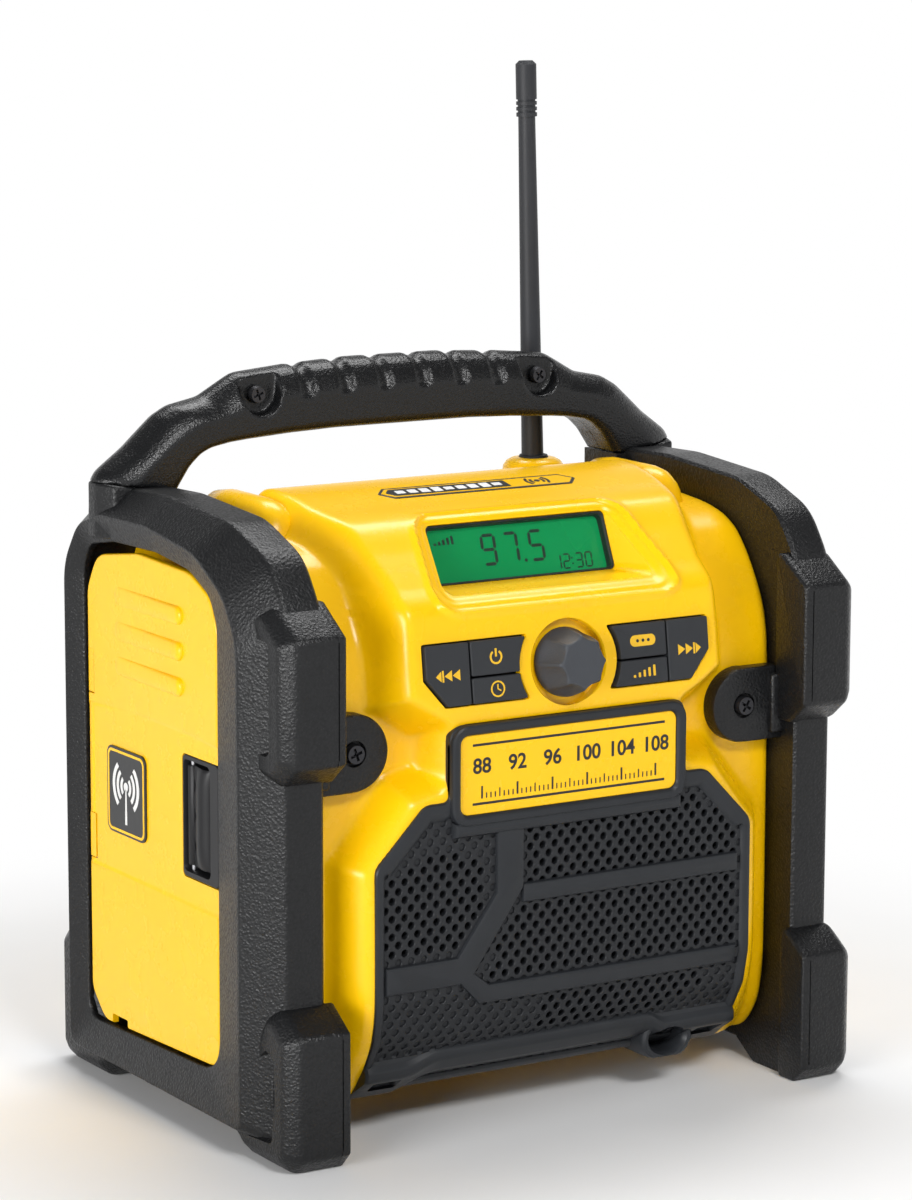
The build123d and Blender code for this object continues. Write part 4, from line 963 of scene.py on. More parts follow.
# Y, and share of the full size, along the rounded cap beside the side frame
BEAD_STATIONS = [(-22.0, 0.02), (-21.4, 0.25), (-19.5, 0.55), (-16.5, 0.8), (-12.0, 0.95), (-6.0, 1.0), (20.0, 1.0),
                 (30.0, 0.92), (37.0, 0.6), (40.0, 0.1)]


def bead(side):
    """Rounded cap on the wing's top beside the side frame."""
    middle, base, rings = 85.5, 212.0, []
    for y, share in BEAD_STATIONS:
        width = 9.0 * share ** 0.5
        ring = [(side * (middle + width * math.cos(angle)), y, base + (18.4 * share) * math.sin(angle) ** 0.62)
                for angle in np.linspace(0, math.pi, 13)]
        rings.append(ring + [(side * (middle - width), y, base - 1.0), (side * (middle + width), y, base - 1.0)])
    return loft("bead", rings)


def grille_outline():
    """Outline of the grille and the frame round the scale plate, in (X, Z)."""
    return mirrored([(81.9, 16), (82.3, 53), (82.3, 104.8), (61.5, 126.2), (51.3, 126.2), (51.3, 154.2)])


def key_group():
    """Opening for one group of three keys, its inner end following the knob's recess."""
    reach = 18.9
    arc = [(reach * math.cos(a), reach * math.sin(a))
           for a in np.radians([-36.8, -30, -22, -14, -6, 2, 10, 18, 26, 33, 37.5])]
    near = [(19.2 + (u - reach) + 2.6, v) for u, v in arc]
    return [(near[0][0] - 0.6, -11.6)] + [(u - 0.4, v) for u, v in near[1:-1]] + [
        (near[-1][0] - 0.4, 11.8), (62.0, 11.8), (62.0, -1.2), (53.4, -11.6)]


def under_lip(x):
    """Section, at a place across, of the cut that makes room for the grille's lip."""
    top = 17.0 + 6.4 * scoop(x)
    return [(x, -90, 0), (x, -90, 26.0), (x, -52, 26.0), (x, -52, top), (x, -30, top), (x, -30, 0)]


class RADIO_OT_housing(bpy.types.Operator):
    """Build the yellow front and rear housings"""

    bl_idname = "jobsite_radio.housing"
    bl_label = "Housing"

    def execute(self, context):
        step = context.scene.jobsite_radio.skin_step
        mast = upright(*ANTENNA_PLACE)
        half = np.concatenate([np.arange(0.0, 62.0, step), np.arange(62.0, 98.5, step * 1.6),
                               [99.0, 100.4, 101.6, 102.5, 102.9, FRAME_ROOT]])
        dome = turned("dome", mast, [(12.6, 200), (12.6, 220.0), (12.2, 222.0), (11.0, 223.8), (9.0, 224.9),
                                     (7.0, 225.3)], 56)
        outer = united(housing_form("housing", 0.0, step * 1.1, both_ways(half)), bead(-1), bead(1), dome)
        # the hollow stays clear of the display's recess, the knob's cup, the dome and the steps at the back
        half = np.concatenate([np.arange(0.0, 99.0, 4.0), [FRAME_ROOT - WALL]])
        inner = carved(housing_form("hollow", WALL, 4.0, both_ways(half)),
                       loft("cup", [DISPLAY_BOARD.lift(funnel_outline(h, 2.8), h) for h in (-4.5, 24.0)]),
                       turned("cup", KEY_BOARD, [(18.7, -6.8), (18.7, 6.0)], 48),
                       turned("cup", mast, [(12.8, 195), (12.8, 240)], 32),
                       *(block(sorted((side * 30, side * 98)), (14, 84), (182, 244)) for side in SIDES))
        outer = carved(
            outer, inner,
            # the display's recess, the knob's dish and bore, and the grille's and the plate's seats
            loft("cut", [DISPLAY_BOARD.lift(funnel_outline(h), h) for h in (0.0, 8.0, 16.0, 24.0, 34.0)]),
            prism("cut", DISPLAY_BOARD, box_outline(39.3, 11.5, 0.6), -6.0, 0.1),
            turned("cut", KEY_BOARD, [(15.9, -4.0), (15.9, -0.6), (16.3, -0.1), (17.0, 0.6), (18.6, 2.2),
                                      (22.0, 6.0)], 72),
            turned("cut", KEY_BOARD, [(3.6, -9.0), (3.6, -3.0)], 24),
            prism("cut", FRONT, inset(grille_outline(), 3.8), 60.0, 100.0),
            prism("cut", FRONT, box_outline(51.4, 18.9, 7.0, (0, PLATE_MIDDLE)), 78.2, 90.0),
            # the left compartment, the battery bay, the antenna's hole, the power inlet and the lip's place
            block((-106, -99.2), (-51.0, 56.5), (27.5, 188.5)),
            block((-41.8, 41.8), (70.0, 80.0), (51.7, 104.3)),
            turned("cut", mast, [(6.05, 180), (6.05, 240)], 32),
            turned("cut", Board((66, 0, 34), (-1, 0, 0), (0, 0, 1)), [(5.6, 70), (5.6, 80)], 32),
            loft("cut", [under_lip(x) for x in np.arange(-82.0, 82.1, 2.0)]),
            *(stepped("cut", KEY_BOARD, softened(sided(key_group(), side), 0.8, 2),
                      ((0.0, -8.0), (0.0, -0.55), (-0.25, 0.0), (-0.9, 0.6), (-3.0, 2.7))) for side in SIDES))
        rear = added("housing_rear", outer.data.copy())
        outer.name = "housing_front"
        outer = carved(outer, block((-120, 120), (SPLIT_Y - SPLIT_GAP, 120), (-10, 260)))
        rear = carved(rear, block((-120, 120), (-120, SPLIT_Y + SPLIT_GAP), (-10, 260)))
        dress(outer, "housing_yellow", "radio", "front_housing")
        dress(rear, "housing_yellow", "radio", "rear_housing")
        return {"FINISHED"}


# ---- side frames
FRAME_EDGE = [(-79.4, 7), (-79.4, 200), (-66, 219), (-40, 228.5), (8, 231.8), (46, 230.6), (66, 222), (79.4, 203),
              (79.4, 7)]
CREST_EDGE = [(-64.4, 11.5), (-64.4, 189), (-54.5, 204.5), (-33, 217), (5, 222), (41, 221.2), (60, 215.6), (72, 199),
              (72, 11.5)]
OPENING_EDGE = [(-42.3, 27.0), (-42.3, 192), (-37.0, 202), (-22, 209), (4, 212), (38, 211.2), (58.3, 207.6),
                (62.9, 197.4), (62.9, 23.6)]
WELL_EDGE = [(-51.5, 16.5), (-51.5, 185), (-45.5, 200), (-31.5, 210), (5, 213.6), (40, 213), (59, 208.5), (64, 196.6),
             (64, 16.5)]


def side_ring():
    """Ring of the left frame: outer wall, sloped shoulder, crest, slope down to its opening and the well behind it."""
    radii = [4, 30, 26, 40, 60, 30, 20, 30, 4], [5, 26, 24, 36, 50, 24, 18, 24, 5], [15, 12, 12, 26, 40, 24, 9, 10, 8]
    edge, crest, opening, well = (softened(outline, r, 9) for outline, r in zip(
        (FRAME_EDGE, CREST_EDGE, OPENING_EDGE, WELL_EDGE), (*radii, radii[2])))
    crown = opening + (crest - opening) * 0.93
    layers = [(inset(edge, 1.2), 103.0), (edge, 104.2), (edge, 118.4), (crest, 129.7), (crown, 129.6), (opening, 125.9),
              (opening, 123.0), (well, 122.95), (well, 103.0)]
    rings = []
    for index in range(len(edge)):
        path = [(-x, outline[index][0], outline[index][1]) for outline, x in layers]
        rings.append(softened(path, [0, 1.0, 3.4, 1.6, 1.6, 1.2, 0.3, 0.3, 0], 4, closed=False))
    return loft("ring", rings, joined=True, smooth_angle=30)


# outlines on the left plane, whose first direction runs forwards
FOOT_EDGE = [(92.0, 6.0), (86.0, 0.0), (56.0, 0.0), (44.0, 8.0), (58.0, 30.0), (66.0, 50.0), (71.5, 58.0),
             (79.4, 59.0), (92.0, 50.5)]
FOOT_POCKET = [(75.0, 43.5), (80.5, 41.5), (81.0, 27.0), (78.6, 10.6), (62.3, 9.4), (56.0, 13.5), (57.0, 21.0),
               (66.4, 36.5)]
BUMPER_EDGE = [(89.8, 147.5), (80.0, 139.5), (60.0, 139.5), (60.0, 203.5), (74.0, 203.5), (89.8, 193.0)]


def guard(outline, high):
    """Block with a chamfered outer rim and every edge a little rounded."""
    made = stepped("guard", LEFT, outline,
                   ((0.0, GUARD_ROOT), (0.0, high - GUARD_CHAMFER), (GUARD_CHAMFER, high)))
    return bevelled(made, 1.7, 4, spare=GUARD_ROOT + 0.5)


def handle_stand():
    """Upright at the left that the handle's end stands on."""
    y0, y1 = HANDLE_Y - 11.5, HANDLE_Y + 11.5
    base = [(-125.6, y0), (-103.0, y0), (-103.0, y1), (-123.6, y1), (-129.2, 51.5), (-129.2, 45.5)]
    stand = loft("stand", [[(x * (1.0 if z > 220 else 1.003), y, z - (0.0 if z < 230 else (x + 129.2) * 0.15))
                            for x, y in base] for z in (212.0, 224.0, 232.9)])
    stand = carved(bevelled(stand, 1.3, 3),
                   block((-122.3, -109.7), (HANDLE_Y - 5.3, HANDLE_Y + 5.3), (217.0, 236.0)),
                   turned("seat", facing(-STAND_PLACE[0], STAND_PLACE[1]),
                          [(4.2, -39.5), (4.2, -37.0), (5.2, -30.0)], 32))
    return [stand, block((-103.5, -98.4), (y0, y1), (222.0, 228.8))]


def ear_pieces():
    """Left ear with its screw seat, and its stepped bridge to the frame."""
    board = facing(-EAR_PLACE[0], EAR_PLACE[1])
    ear = turned("ear", board, [(14.3, 64.0), (14.3, 69.3), (13.9, 70.1), (13.1, 70.5)], 64)
    ear = united(ear, bevelled(block((-105.0, -85.5), (-70.5, -64.0), (131.8, 160.4)), 0.9, 3))
    ear = carved(ear, turned("seat", board, [(4.7, 68.5), (4.7, 70.3), (5.3, 71.0)], 40))
    return [ear, bevelled(block((-106.0, -96.8), (-73.0, -64.0), (134.5, 157.5)), 1.2, 3)]


class RADIO_OT_frames(bpy.types.Operator):
    """Build both black side frames with their feet, bumpers, ears and handle stands"""

    bl_idname = "jobsite_radio.frames"
    bl_label = "Side frames"

    def execute(self, context):
        parts = [side_ring()]
        for way in (1, -1):
            well = softened(sided(FOOT_POCKET, way), 2.2, 3)
            middle = well.mean(0)
            rib = middle + (well - middle) * (0.36, 0.56) + (way * 1.6, -2.0)
            thin = [(way * max(u, 76.3), v) for u, v in FOOT_EDGE if u > 70 or v < 30]
            parts += [carved(guard(sided(FOOT_EDGE, way), 125.0),
                             stepped("well", LEFT, well, ((1.6, 118.4), (0.5, 122.6), (-0.7, 125.6)))),
                      prism("rib", LEFT, rib, 117.0, 122.6, 1.4),
                      prism("inner", LEFT, softened(thin, 1.7, 3), 99.5, 103.2, low_edge=1.2)]
        slot = box_outline(6.0, 20.0, 2.4, (71.6, 171.0), 4)
        thin = [(max(u, 70), v) for u, v in BUMPER_EDGE]
        parts += [carved(guard(BUMPER_EDGE, 124.8),
                         stepped("slot", LEFT, slot, ((1.4, 118.2), (0.5, 122.4), (-0.8, 125.4)))),
                  prism("rib", LEFT, box_outline(2.3, 16.2, 1.6, (70.4, 171.0), 4), 117.0, 122.8, 1.5),
                  prism("inner", LEFT, softened(thin, 1.7, 3), 99.5, 103.2, low_edge=1.6),
                  *handle_stand(), *ear_pieces()]
        left = soften_shading(joined("side_frame_left", parts), 36)
        right = soften_shading(reflected(left, "side_frame_right"), 36)
        dress(left, "frame_black", "radio", "left_frame")
        dress(right, "frame_black", "radio", "right_frame")
        return {"FINISHED"}


# ---- handle
HANDLE_OUTSIDE = [(129.2, 232.9), (127.4, 236.2), (116.0, 244.4), (103.5, 255.8), (97.0, 259.4), (84.0, 262.0),
                  (76.0, 266.6), (69.5, 270.2), (47.0, 272.2), (20.0, 273.6)]
HANDLE_INSIDE = [(98.6, 229.0), (93.0, 237.4), (88.4, 241.6), (84.0, 243.6), (76.0, 245.0), (68.7, 245.7),
                 (49.6, 246.9), (30.0, 247.6)]
# share of the way from the outer line to the inner one, and distance from the middle plane
HANDLE_SECTION = [(0.0, 1.6), (0.035, 4.4), (0.11, 7.2), (0.2, 9.2), (0.31, 10.9), (0.42, 12.0), (0.9, 12.0),
                  (0.96, 11.2), (1.0, 9.4)]
# Y, and height over the crown, along the front half of a valley between two finger bumps
VALLEY = [(32.2, -11.2), (32.7, -8.2), (35.0, -3.6), (38.2, 0.4), (42.6, 3.2), (48.0, 4.2)]
SCREW_RECESS = [(-8.4, 269.4), (-8.2, 262.6), (-7.2, 258.6), (-4.2, 255.4), (0, 254.3), (4.2, 255.4), (7.2, 258.6),
                (8.2, 262.6), (8.4, 269.4)]


class RADIO_OT_handle(bpy.types.Operator):
    """Build the two shells of the carrying handle with their finger scallops"""

    bl_idname = "jobsite_radio.handle"
    bl_label = "Handle"

    def execute(self, context):
        lines = [evenly(softened(mirrored(half), 9.0, 5, closed=False), 170)
                 for half in (HANDLE_OUTSIDE, HANDLE_INSIDE)]
        section = [(t, -y) for t, y in HANDLE_SECTION] + [(t, y) for t, y in HANDLE_SECTION[::-1]]
        rings = [[(outer[0] + (under[0] - outer[0]) * t, HANDLE_Y + y, outer[1] + (under[1] - outer[1]) * t)
                  for t, y in section] for outer, under in zip(*lines)]
        tools = []
        for index in range(6):
            x = (index - 2.5) * 17.2
            crown = np.interp(abs(x), [0, 20, 47, 70], [273.6, 273.5, 272.1, 270.0])
            path = [(y, crown + z) for y, z in VALLEY]
            tools.append(swept("valley", x, path + [(2 * HANDLE_Y - y, z) for y, z in path[-2::-1]], 5.3))
        for side in SIDES:
            recess = softened([(side * 62.6 + u, v) for u, v in SCREW_RECESS], 1.0, 3)
            tools.append(prism("recess", FRONT, recess, -42.4, -30.0))
        front = rounded_over("handle", carved(loft("handle", rings), *tools),
                             context.scene.jobsite_radio.handle_voxel)
        rear = added("handle_rear", front.data.copy())
        front.name = "handle_front"
        front = carved(front, block((-140, 140), (HANDLE_Y - HANDLE_GAP, 90), (200, 300)))
        rear = carved(rear, block((-140, 140), (10, HANDLE_Y + HANDLE_GAP), (200, 300)))
        for shell, node in ((front, "handle_front_shell"), (rear, "handle_rear_shell")):
            dress(soften_shading(shell, 55), "handle_black", "radio", node, slot="frame_black")
        return {"FINISHED"}


# ---- grille
def panel_y(z):
    """Front of the lower panel at a height."""
    return np.interp(z, [14, 26, 40, 54, 150, 161.4], [-56, -68, -76, -78.8, -78.8, -80.4])


def on_panel(points, heights):
    """Points (X, Z) laid on the lower panel at heights in front of it."""
    points = np.asarray(points, float)
    return np.stack([points[:, 0], panel_y(points[:, 1]) - heights, points[:, 1]], 1)


def panel_block(name, outline, top, edge):
    """Raised bar on the panel with chamfered rims."""
    outline = resampled(outline, 6.0)
    rings = [on_panel(inset(outline, s), h)
             for s, h in ((0, -1.0), (0, top - edge), (edge * 0.35, top - edge * 0.3), (edge, top))]
    return loft(name, rings, smooth_angle=24)


SPINE_BAR = [(-31.2, 118.5), (-19.6, 118.5), (-19.6, 91.2), (-40.6, 61.3), (-34.5, 56.6), (76.3, 56.6), (76.3, 49.2),
             (-38.1, 49.2), (-46.6, 57.8), (-78.2, 57.8), (-78.2, 68.2), (-47.8, 68.2), (-31.2, 90.6)]
UPPER_BAR = [(-20.0, 85.2), (76.3, 85.2), (76.3, 92.4), (-20.0, 92.4)]
OPEN_FIELDS = [
    [(-79, 70), (-50, 70), (-36, 83), (-36, 100), (-50, 108), (-64, 105), (-79, 100)],
    [(-18.5, 92), (76, 92), (76, 100), (58, 118), (-18.5, 113)],
    [(-33, 58), (76, 58), (76, 84), (-18, 84), (-28, 76)],
    [(-9, 30), (0, 29), (44, 33), (64, 44), (64, 48), (-9, 48)],
]


# share of the rim's width, and height over the panel
RIM_SECTION = [(0.0, -2.0), (0.0, 0.9), (0.08, 1.45), (0.22, 1.7), (0.55, 1.7), (0.72, 1.5), (0.9, 0.9), (1.0, 0.3),
               (1.0, -2.0)]
# inset and height of the frame round the scale plate
SURROUND_SECTION = [(0.0, 78.3), (0.0, 80.9), (0.35, 81.6), (1.0, 82.0), (2.6, 82.0), (3.4, 81.6), (4.0, 80.8),
                    (4.0, 78.4)]
# growth and height of the collar round the lip's eye
EYE_SECTION = [(0.0, 50.0), (0.0, 68.4), (0.5, 70.0), (1.5, 71.2), (2.7, 71.4), (3.7, 70.6), (4.2, 69.0), (4.3, 50.0)]
EYE_MIDDLE = (52.4, 20.6)


def tile(name, half_u, half_v, radius, depth, floor):
    """One cell of the perforated field, with a round hole and an optional floor."""
    count = 16
    angles = turn_angles(count) + math.pi / count
    rim = np.stack([np.cos(angles), np.sin(angles)], 1)
    square = rim * (1 / np.maximum(np.abs(rim[:, 0]) / half_u, np.abs(rim[:, 1]) / half_v))[:, None]
    for corner in rectangle(-half_u, half_u, -half_v, half_v):
        square[np.argmin(np.linalg.norm(square - corner, axis=1))] = corner
    levels = [(square, 0.0), (rim * (radius + 0.22), 0.0), (rim * radius, -0.22), (rim * radius * 0.97, -depth)]
    points = np.vstack([np.column_stack([ring, np.full(count, height)]) for ring, height in levels])
    faces = [(a + index, a + (index + 1) % count, a + count + (index + 1) % count, a + count + index)
             for a in range(0, 3 * count, count) for index in range(count)]
    if floor:
        faces.append(tuple(range(3 * count, 4 * count)))
    return soften_shading(piece(name, points, faces))


def perforated_cells(sizes, outline):
    """Field of round holes laid on the curved panel, with its rim tucked under the grille's."""
    pitch, row, radius = sizes.hole_pitch, sizes.hole_row, sizes.hole_radius
    places = np.array([(column * pitch + (index % 2) * pitch / 2, index * row)
                       for index in range(int(16 / row), int(128 / row) + 1) for column in range(-18, 19)])
    places = places[is_inside(places, inset(outline, 1.4))]
    is_open = np.any([is_inside(places, edge) for edge in OPEN_FIELDS], 0).astype(float)
    tiles = [tile("open_tile", pitch / 2, row / 2, radius, 2.6, False),
             tile("closed_tile", pitch / 2, row / 2, radius * 0.96, 0.75, True)]
    pattern = Pattern("perforation")
    scale = pattern.height("Hole scale")
    both = pattern.node("GeometryNodeJoinGeometry")
    for cell, label, operation in zip(tiles, ("Open cell", "Closed cell"), ("GREATER_THAN", "LESS_THAN")):
        chosen = pattern.node("ShaderNodeMath", {"operation": operation}, {0: pattern.stored("open", "FLOAT"), 1: 0.5})
        pattern.feed(both.inputs[0], pattern.laid(pattern.shape(label, cell), Selection=chosen.outputs[0], Scale=scale))
    flat = np.column_stack([places, np.zeros(len(places))])
    cells = pattern.spread("grille_cells", flat, both.outputs[0], open=is_open)
    for spare in tiles:
        bpy.data.objects.remove(spare)
    points = np.zeros(len(cells.data.vertices) * 3)
    cells.data.vertices.foreach_get("co", points)
    points = points.reshape(-1, 3) / MM
    limit = inset(resampled(outline, 3.0), 0.8)
    outside = ~is_inside(points[:, :2], limit)
    points[outside, :2] = nearest_on(points[outside, :2], limit)[0]
    cells.data.vertices.foreach_set("co", (on_panel(points[:, :2], points[:, 2] + 0.3) * MM).ravel())
    cells.data.update()
    welded(cells.data, 1e-5)
    dress(soften_shading(cells, 40), "mesh_black", "radio", slot="grille_black")


def grille_lip():
    """Lip along the bottom of the grille, with a raised middle, a pocket at each end and an eye."""
    rings = []
    for x in np.concatenate([[-82.0, -81.0], np.arange(-79.0, 80.0, 2.0), [81.0, 82.0]]):
        drop = 1 - scoop(x)
        path = [(panel_y(34.0) + 1.5, 34.0), (panel_y(33.0) + 0.5, 33.0 - 3.2 * drop),
                (panel_y(31.6) - 1.6, 31.8 - 4.4 * drop), (panel_y(28.4) - 3.3, 28.6 - 4.6 * drop),
                (-68.6 + 3.4 * drop, 23.4 - 4.2 * drop), (-62.0 + 2.6 * drop, 20.2 - 5.6 * drop),
                (-29.2, 18.4 - 5.4 * drop), (-29.2, 25.0), (-60.0, 28.5)]
        ring = softened(path, [0, 0.8, 2.0, 4.0, 4.0, 3.0, 0.5, 0.5, 0], 4, closed=False)
        if abs(x) > 80.5:
            middle = ring.mean(0)
            ring = middle + (ring - middle) * (0.93 if abs(x) > 81.5 else 0.985)
        rings.append([(x, y, z) for y, z in ring])
    pockets = [stepped("pocket", FRONT, softened(sided([(77.4, 17.6), (76.0, 23.6), (69.0, 23.8), (63.4, 17.4)], side),
                                                 1.2, 3), ((1.0, 61.4), (0.0, 66.0), (-1.6, 70.5))) for side in SIDES]
    eye = circle(1.0, 44) * (7.6, 5.2)
    bore = loft("bore", [FRONT.lift(eye * k + EYE_MIDDLE, h) for k, h in ((0.9, 53.0), (1.0, 80.0))])
    collar = []
    for grow, height in EYE_SECTION:
        edge = eye * (1 + grow / 7.6, 1 + grow / 5.2) + EYE_MIDDLE
        edge[:, 1] = np.maximum(edge[:, 1], 13.2 + (4.3 - grow) * 0.25)
        collar.append(FRONT.lift(edge, height - 1.2))
    return [carved(loft("lip", rings, smooth_angle=40), *pockets, bore), band("eye", collar)]


class RADIO_OT_grille(bpy.types.Operator):
    """Build the grille: rim, raised bars and the perforated field"""

    bl_idname = "jobsite_radio.grille"
    bl_label = "Grille"

    def execute(self, context):
        outline = np.array(grille_outline())
        perforated_cells(context.scene.jobsite_radio, outline)
        corners = [6, 3, 7, 7, 3, 6]
        soft = resampled(softened(outline, corners + corners[::-1], 6), 2.5)
        # the rim is wider along the slanted shoulders
        slanted = (soft[:, 1] > 104) & (soft[:, 1] < 127) & (np.abs(soft[:, 0]) > 52)
        width = np.where(slanted, 6.8, 4.0)
        for _ in range(3):
            width = (np.roll(width, 1) + width + np.roll(width, -1)) / 3
        rim = [on_panel(inset(soft, width * share), height) for share, height in RIM_SECTION]
        surround = [FRONT.lift(box_outline(51.3 - shrink, 18.8 - shrink, max(7.0 - shrink, 3.4), (0, PLATE_MIDDLE), 8),
                               height) for shrink, height in SURROUND_SECTION]
        parts = [band("rim", rim, 28), band("surround", surround, 28), panel_block("bar", SPINE_BAR, 1.9, 1.1),
                 panel_block("bar", UPPER_BAR, 1.9, 1.1),
                 panel_block("sill", rectangle(-50.0, 50.0, 112.4, 118.5), 3.0, 2.4), *grille_lip()]
        dress(soften_shading(joined("grille_body", parts), 28), "grille_black", "radio", "grille")
        return {"FINISHED"}


# ---- lettering and marks
def written(name, text, size, board, place, height, bold):
    """Plain numbers printed on a plane, centred at a place."""
    curve = bpy.data.curves.new(name, "FONT")
    curve.body, curve.size = text, size * MM
    curve.align_x, curve.align_y = "CENTER", "CENTER"
    curve.offset, curve.extrude = bold * MM, PRINT_DEPTH / 2 * MM
    source = added(name + "_source", curve)
    mesh = final_mesh(source)
    bpy.data.objects.remove(source)
    turn = Matrix([board.u, board.v, board.n]).transposed().to_4x4()
    turn.translation = Vector(board.at(place[0], place[1], height)) * MM
    mesh.transform(turn)
    return added(name, mesh)


def stroke(board, points, width, height, thickness=0.14):
    """Printed line along points of a plane."""
    points = np.asarray(points, float)
    along = np.gradient(points, axis=0)
    along /= np.maximum(np.linalg.norm(along, axis=1, keepdims=True), 1e-9)
    side = np.stack([-along[:, 1], along[:, 0]], 1) * width / 2
    top = height + thickness
    return loft("stroke", [[board.at(*(p + s), height), board.at(*(p - s), height), board.at(*(p - s), top),
                            board.at(*(p + s), top)] for p, s in zip(points, side)])


def patch(board, outline, height, thickness=0.14):
    """Printed filled shape on a plane."""
    return prism("patch", board, np.asarray(outline, float), height, height + thickness)


def arc(centre, radius, start, end, count=14):
    """Points of an arc, angles in degrees."""
    angles = np.radians(np.linspace(start, end, count))
    return np.stack([centre[0] + radius * np.cos(angles), centre[1] + radius * np.sin(angles)], 1)


class RADIO_OT_name_plate(bpy.types.Operator):
    """Build the scale plate with its plain tuning scale"""

    bl_idname = "jobsite_radio.name_plate"
    bl_label = "Scale plate"

    def execute(self, context):
        plate = prism("scale_plate", FRONT, box_outline(47.3, 14.8, 3.6, (0, PLATE_MIDDLE), 8), 78.9, 80.4, 0.35)
        dress(plate, "plate_yellow", "radio", "name_plate")
        marks = [patch(FRONT, rectangle(-42, 42, z - 0.45, z + 0.45), PLATE_FACE)
                 for z in (PLATE_MIDDLE - 10.9, PLATE_MIDDLE + 10.9)]
        start, step, foot = -38.0, 1.9, 126.4
        for index in range(41):
            x = start + step * index
            tall = 4.6 if index % 8 == 0 else 3.2 if index % 4 == 0 else 2.0
            wide = 0.36 if index % 8 == 0 else 0.22
            marks.append(patch(FRONT, rectangle(x - wide, x + wide, foot, foot + tall), PLATE_FACE))
        for index, number in enumerate(("88", "92", "96", "100", "104", "108")):
            marks.append(written("number", number, 7.9, FRONT, (start + 8 * step * index, 138.2), 80.45, 0.15))
        dress(soften_shading(joined("scale_marks", marks), 30), "scale_ink", "radio", slot="badge_black")
        return {"FINISHED"}


# ---- display
SEGMENTS = {"0": "abcdef", "1": "bc", "2": "abged", "3": "abgcd", "5": "afgcd", "7": "abc", "9": "abcdfg"}


def lcd_mark(outline):
    """Dark shape on the lit panel."""
    return patch(DISPLAY_BOARD, outline, LCD_FACE, LCD_DEPTH)


def digit(character, left, bottom, width, height, stem):
    """Seven-segment figure as printed bars."""
    made = []
    half, gap, lean, t = height / 2, stem * 0.16, 0.06, stem / 2
    spots = {"a": ((0, height), (width, height)), "g": ((0, half), (width, half)), "d": ((0, 0), (width, 0)),
             "f": ((0, half), (0, height)), "b": ((width, half), (width, height)), "e": ((0, 0), (0, half)),
             "c": ((width, 0), (width, half))}
    for key in SEGMENTS[character]:
        (u0, v0), (u1, v1) = spots[key]
        if v0 == v1:
            shape = [(u0 + gap, v0), (u0 + t + gap, v0 - t), (u1 - t - gap, v0 - t), (u1 - gap, v0),
                     (u1 - t - gap, v0 + t), (u0 + t + gap, v0 + t)]
        else:
            shape = [(u0, v0 + gap), (u0 + t, v0 + t + gap), (u0 + t, v1 - t - gap), (u0, v1 - gap),
                     (u0 - t, v1 - t - gap), (u0 - t, v0 + t + gap)]
        made.append(lcd_mark([(left + u + v * lean, bottom + v) for u, v in shape]))
    return made


class RADIO_OT_display(bpy.types.Operator):
    """Build the display's window, lit panel, bezel and figures"""

    bl_idname = "jobsite_radio.display"
    bl_label = "Display"

    def execute(self, context):
        for name, half, radius, steps, heights, finish, node in (
            ("display_window", (39.2, 11.3), 2.0, 6, (-0.5, 0.0, 0.12), "lens_clear", "display_lens"),
            ("display_panel", (39.1, 11.2), 1.6, 4, (-4.6, LCD_FACE), "lcd_green", "lcd_panel"),
            ("display_guide", (39.1, 11.2), 1.6, 4, (-5.8, -4.7, 0.3), "light_guide_white", "light_guide"),
        ):
            dress(prism(name, DISPLAY_BOARD, box_outline(*half, radius, steps=steps), *heights), finish, "radio", node)
        ring = [DISPLAY_BOARD.lift(box_outline(39.0 + grow, 11.1 + grow, 2.0, steps=6), height)
                for grow, height in ((0.15, -4.55), (0.15, -0.3), (-0.25, -0.32), (-0.75, -0.9), (-0.75, -3.95),
                                     (-0.6, -4.55))]
        dress(band("display_bezel", ring), "part_black", "radio", slot="badge_black")
        marks = []
        for character, left in (("9", -14.5), ("7", -4.8), ("5", 6.4)):
            marks += digit(character, left, -4.2, 5.4, 11.0, 1.25)
        marks.append(lcd_mark(box_outline(0.6, 0.6, 0.2, (3.6, -4.0), 2)))
        for character, left in (("1", 15.6), ("2", 19.6), ("3", 25.2), ("0", 29.4)):
            marks += digit(character, left, -8.6, 2.7, 5.4, 0.62)
        # the clock's colon, and the bars of the signal's strength
        dots = [(0.32, 0.32, 0.1, (23.6, v)) for v in (-7.0, -4.8)]
        for index in range(5):
            tall = 0.9 + 0.6 * index
            dots.append((0.55, tall / 2, 0.1, (-34.0 + 1.9 * index, 4.6 + tall / 2)))
        marks += [lcd_mark(box_outline(*dot, 2)) for dot in dots]
        dress(joined("display_figures", marks), "segment_ink", "radio", slot="badge_black")
        return {"FINISHED"}


# ---- keys and knob
def key_shapes():
    """Outlines of one side's three keys in the panel's plane, their inner ends following the knob's recess."""
    recess = 21.5

    def near(heights):
        return [(math.sqrt(recess ** 2 - v * v) - 0.1 + 0.6, v) for v in heights]

    return {
        "outer": [(43.2, -11.2), (53.0, -11.2), (61.6, -0.8), (61.6, 11.4), (43.2, 11.4)],
        "upper": [(42.5, -1.25), (42.5, 11.4)] + near([11.4, 8.0, 5.0, 2.0, -1.25]),
        "lower": [(42.5, -11.2), (42.5, -1.95)] + near([-1.95, -4.0, -6.4, -8.8, -11.2]),
    }


KEYS = (("rewind_key", "outer", -1), ("power_key", "upper", -1), ("clock_key", "lower", -1),
        ("mode_key", "upper", 1), ("preset_key", "lower", 1), ("forward_key", "outer", 1))


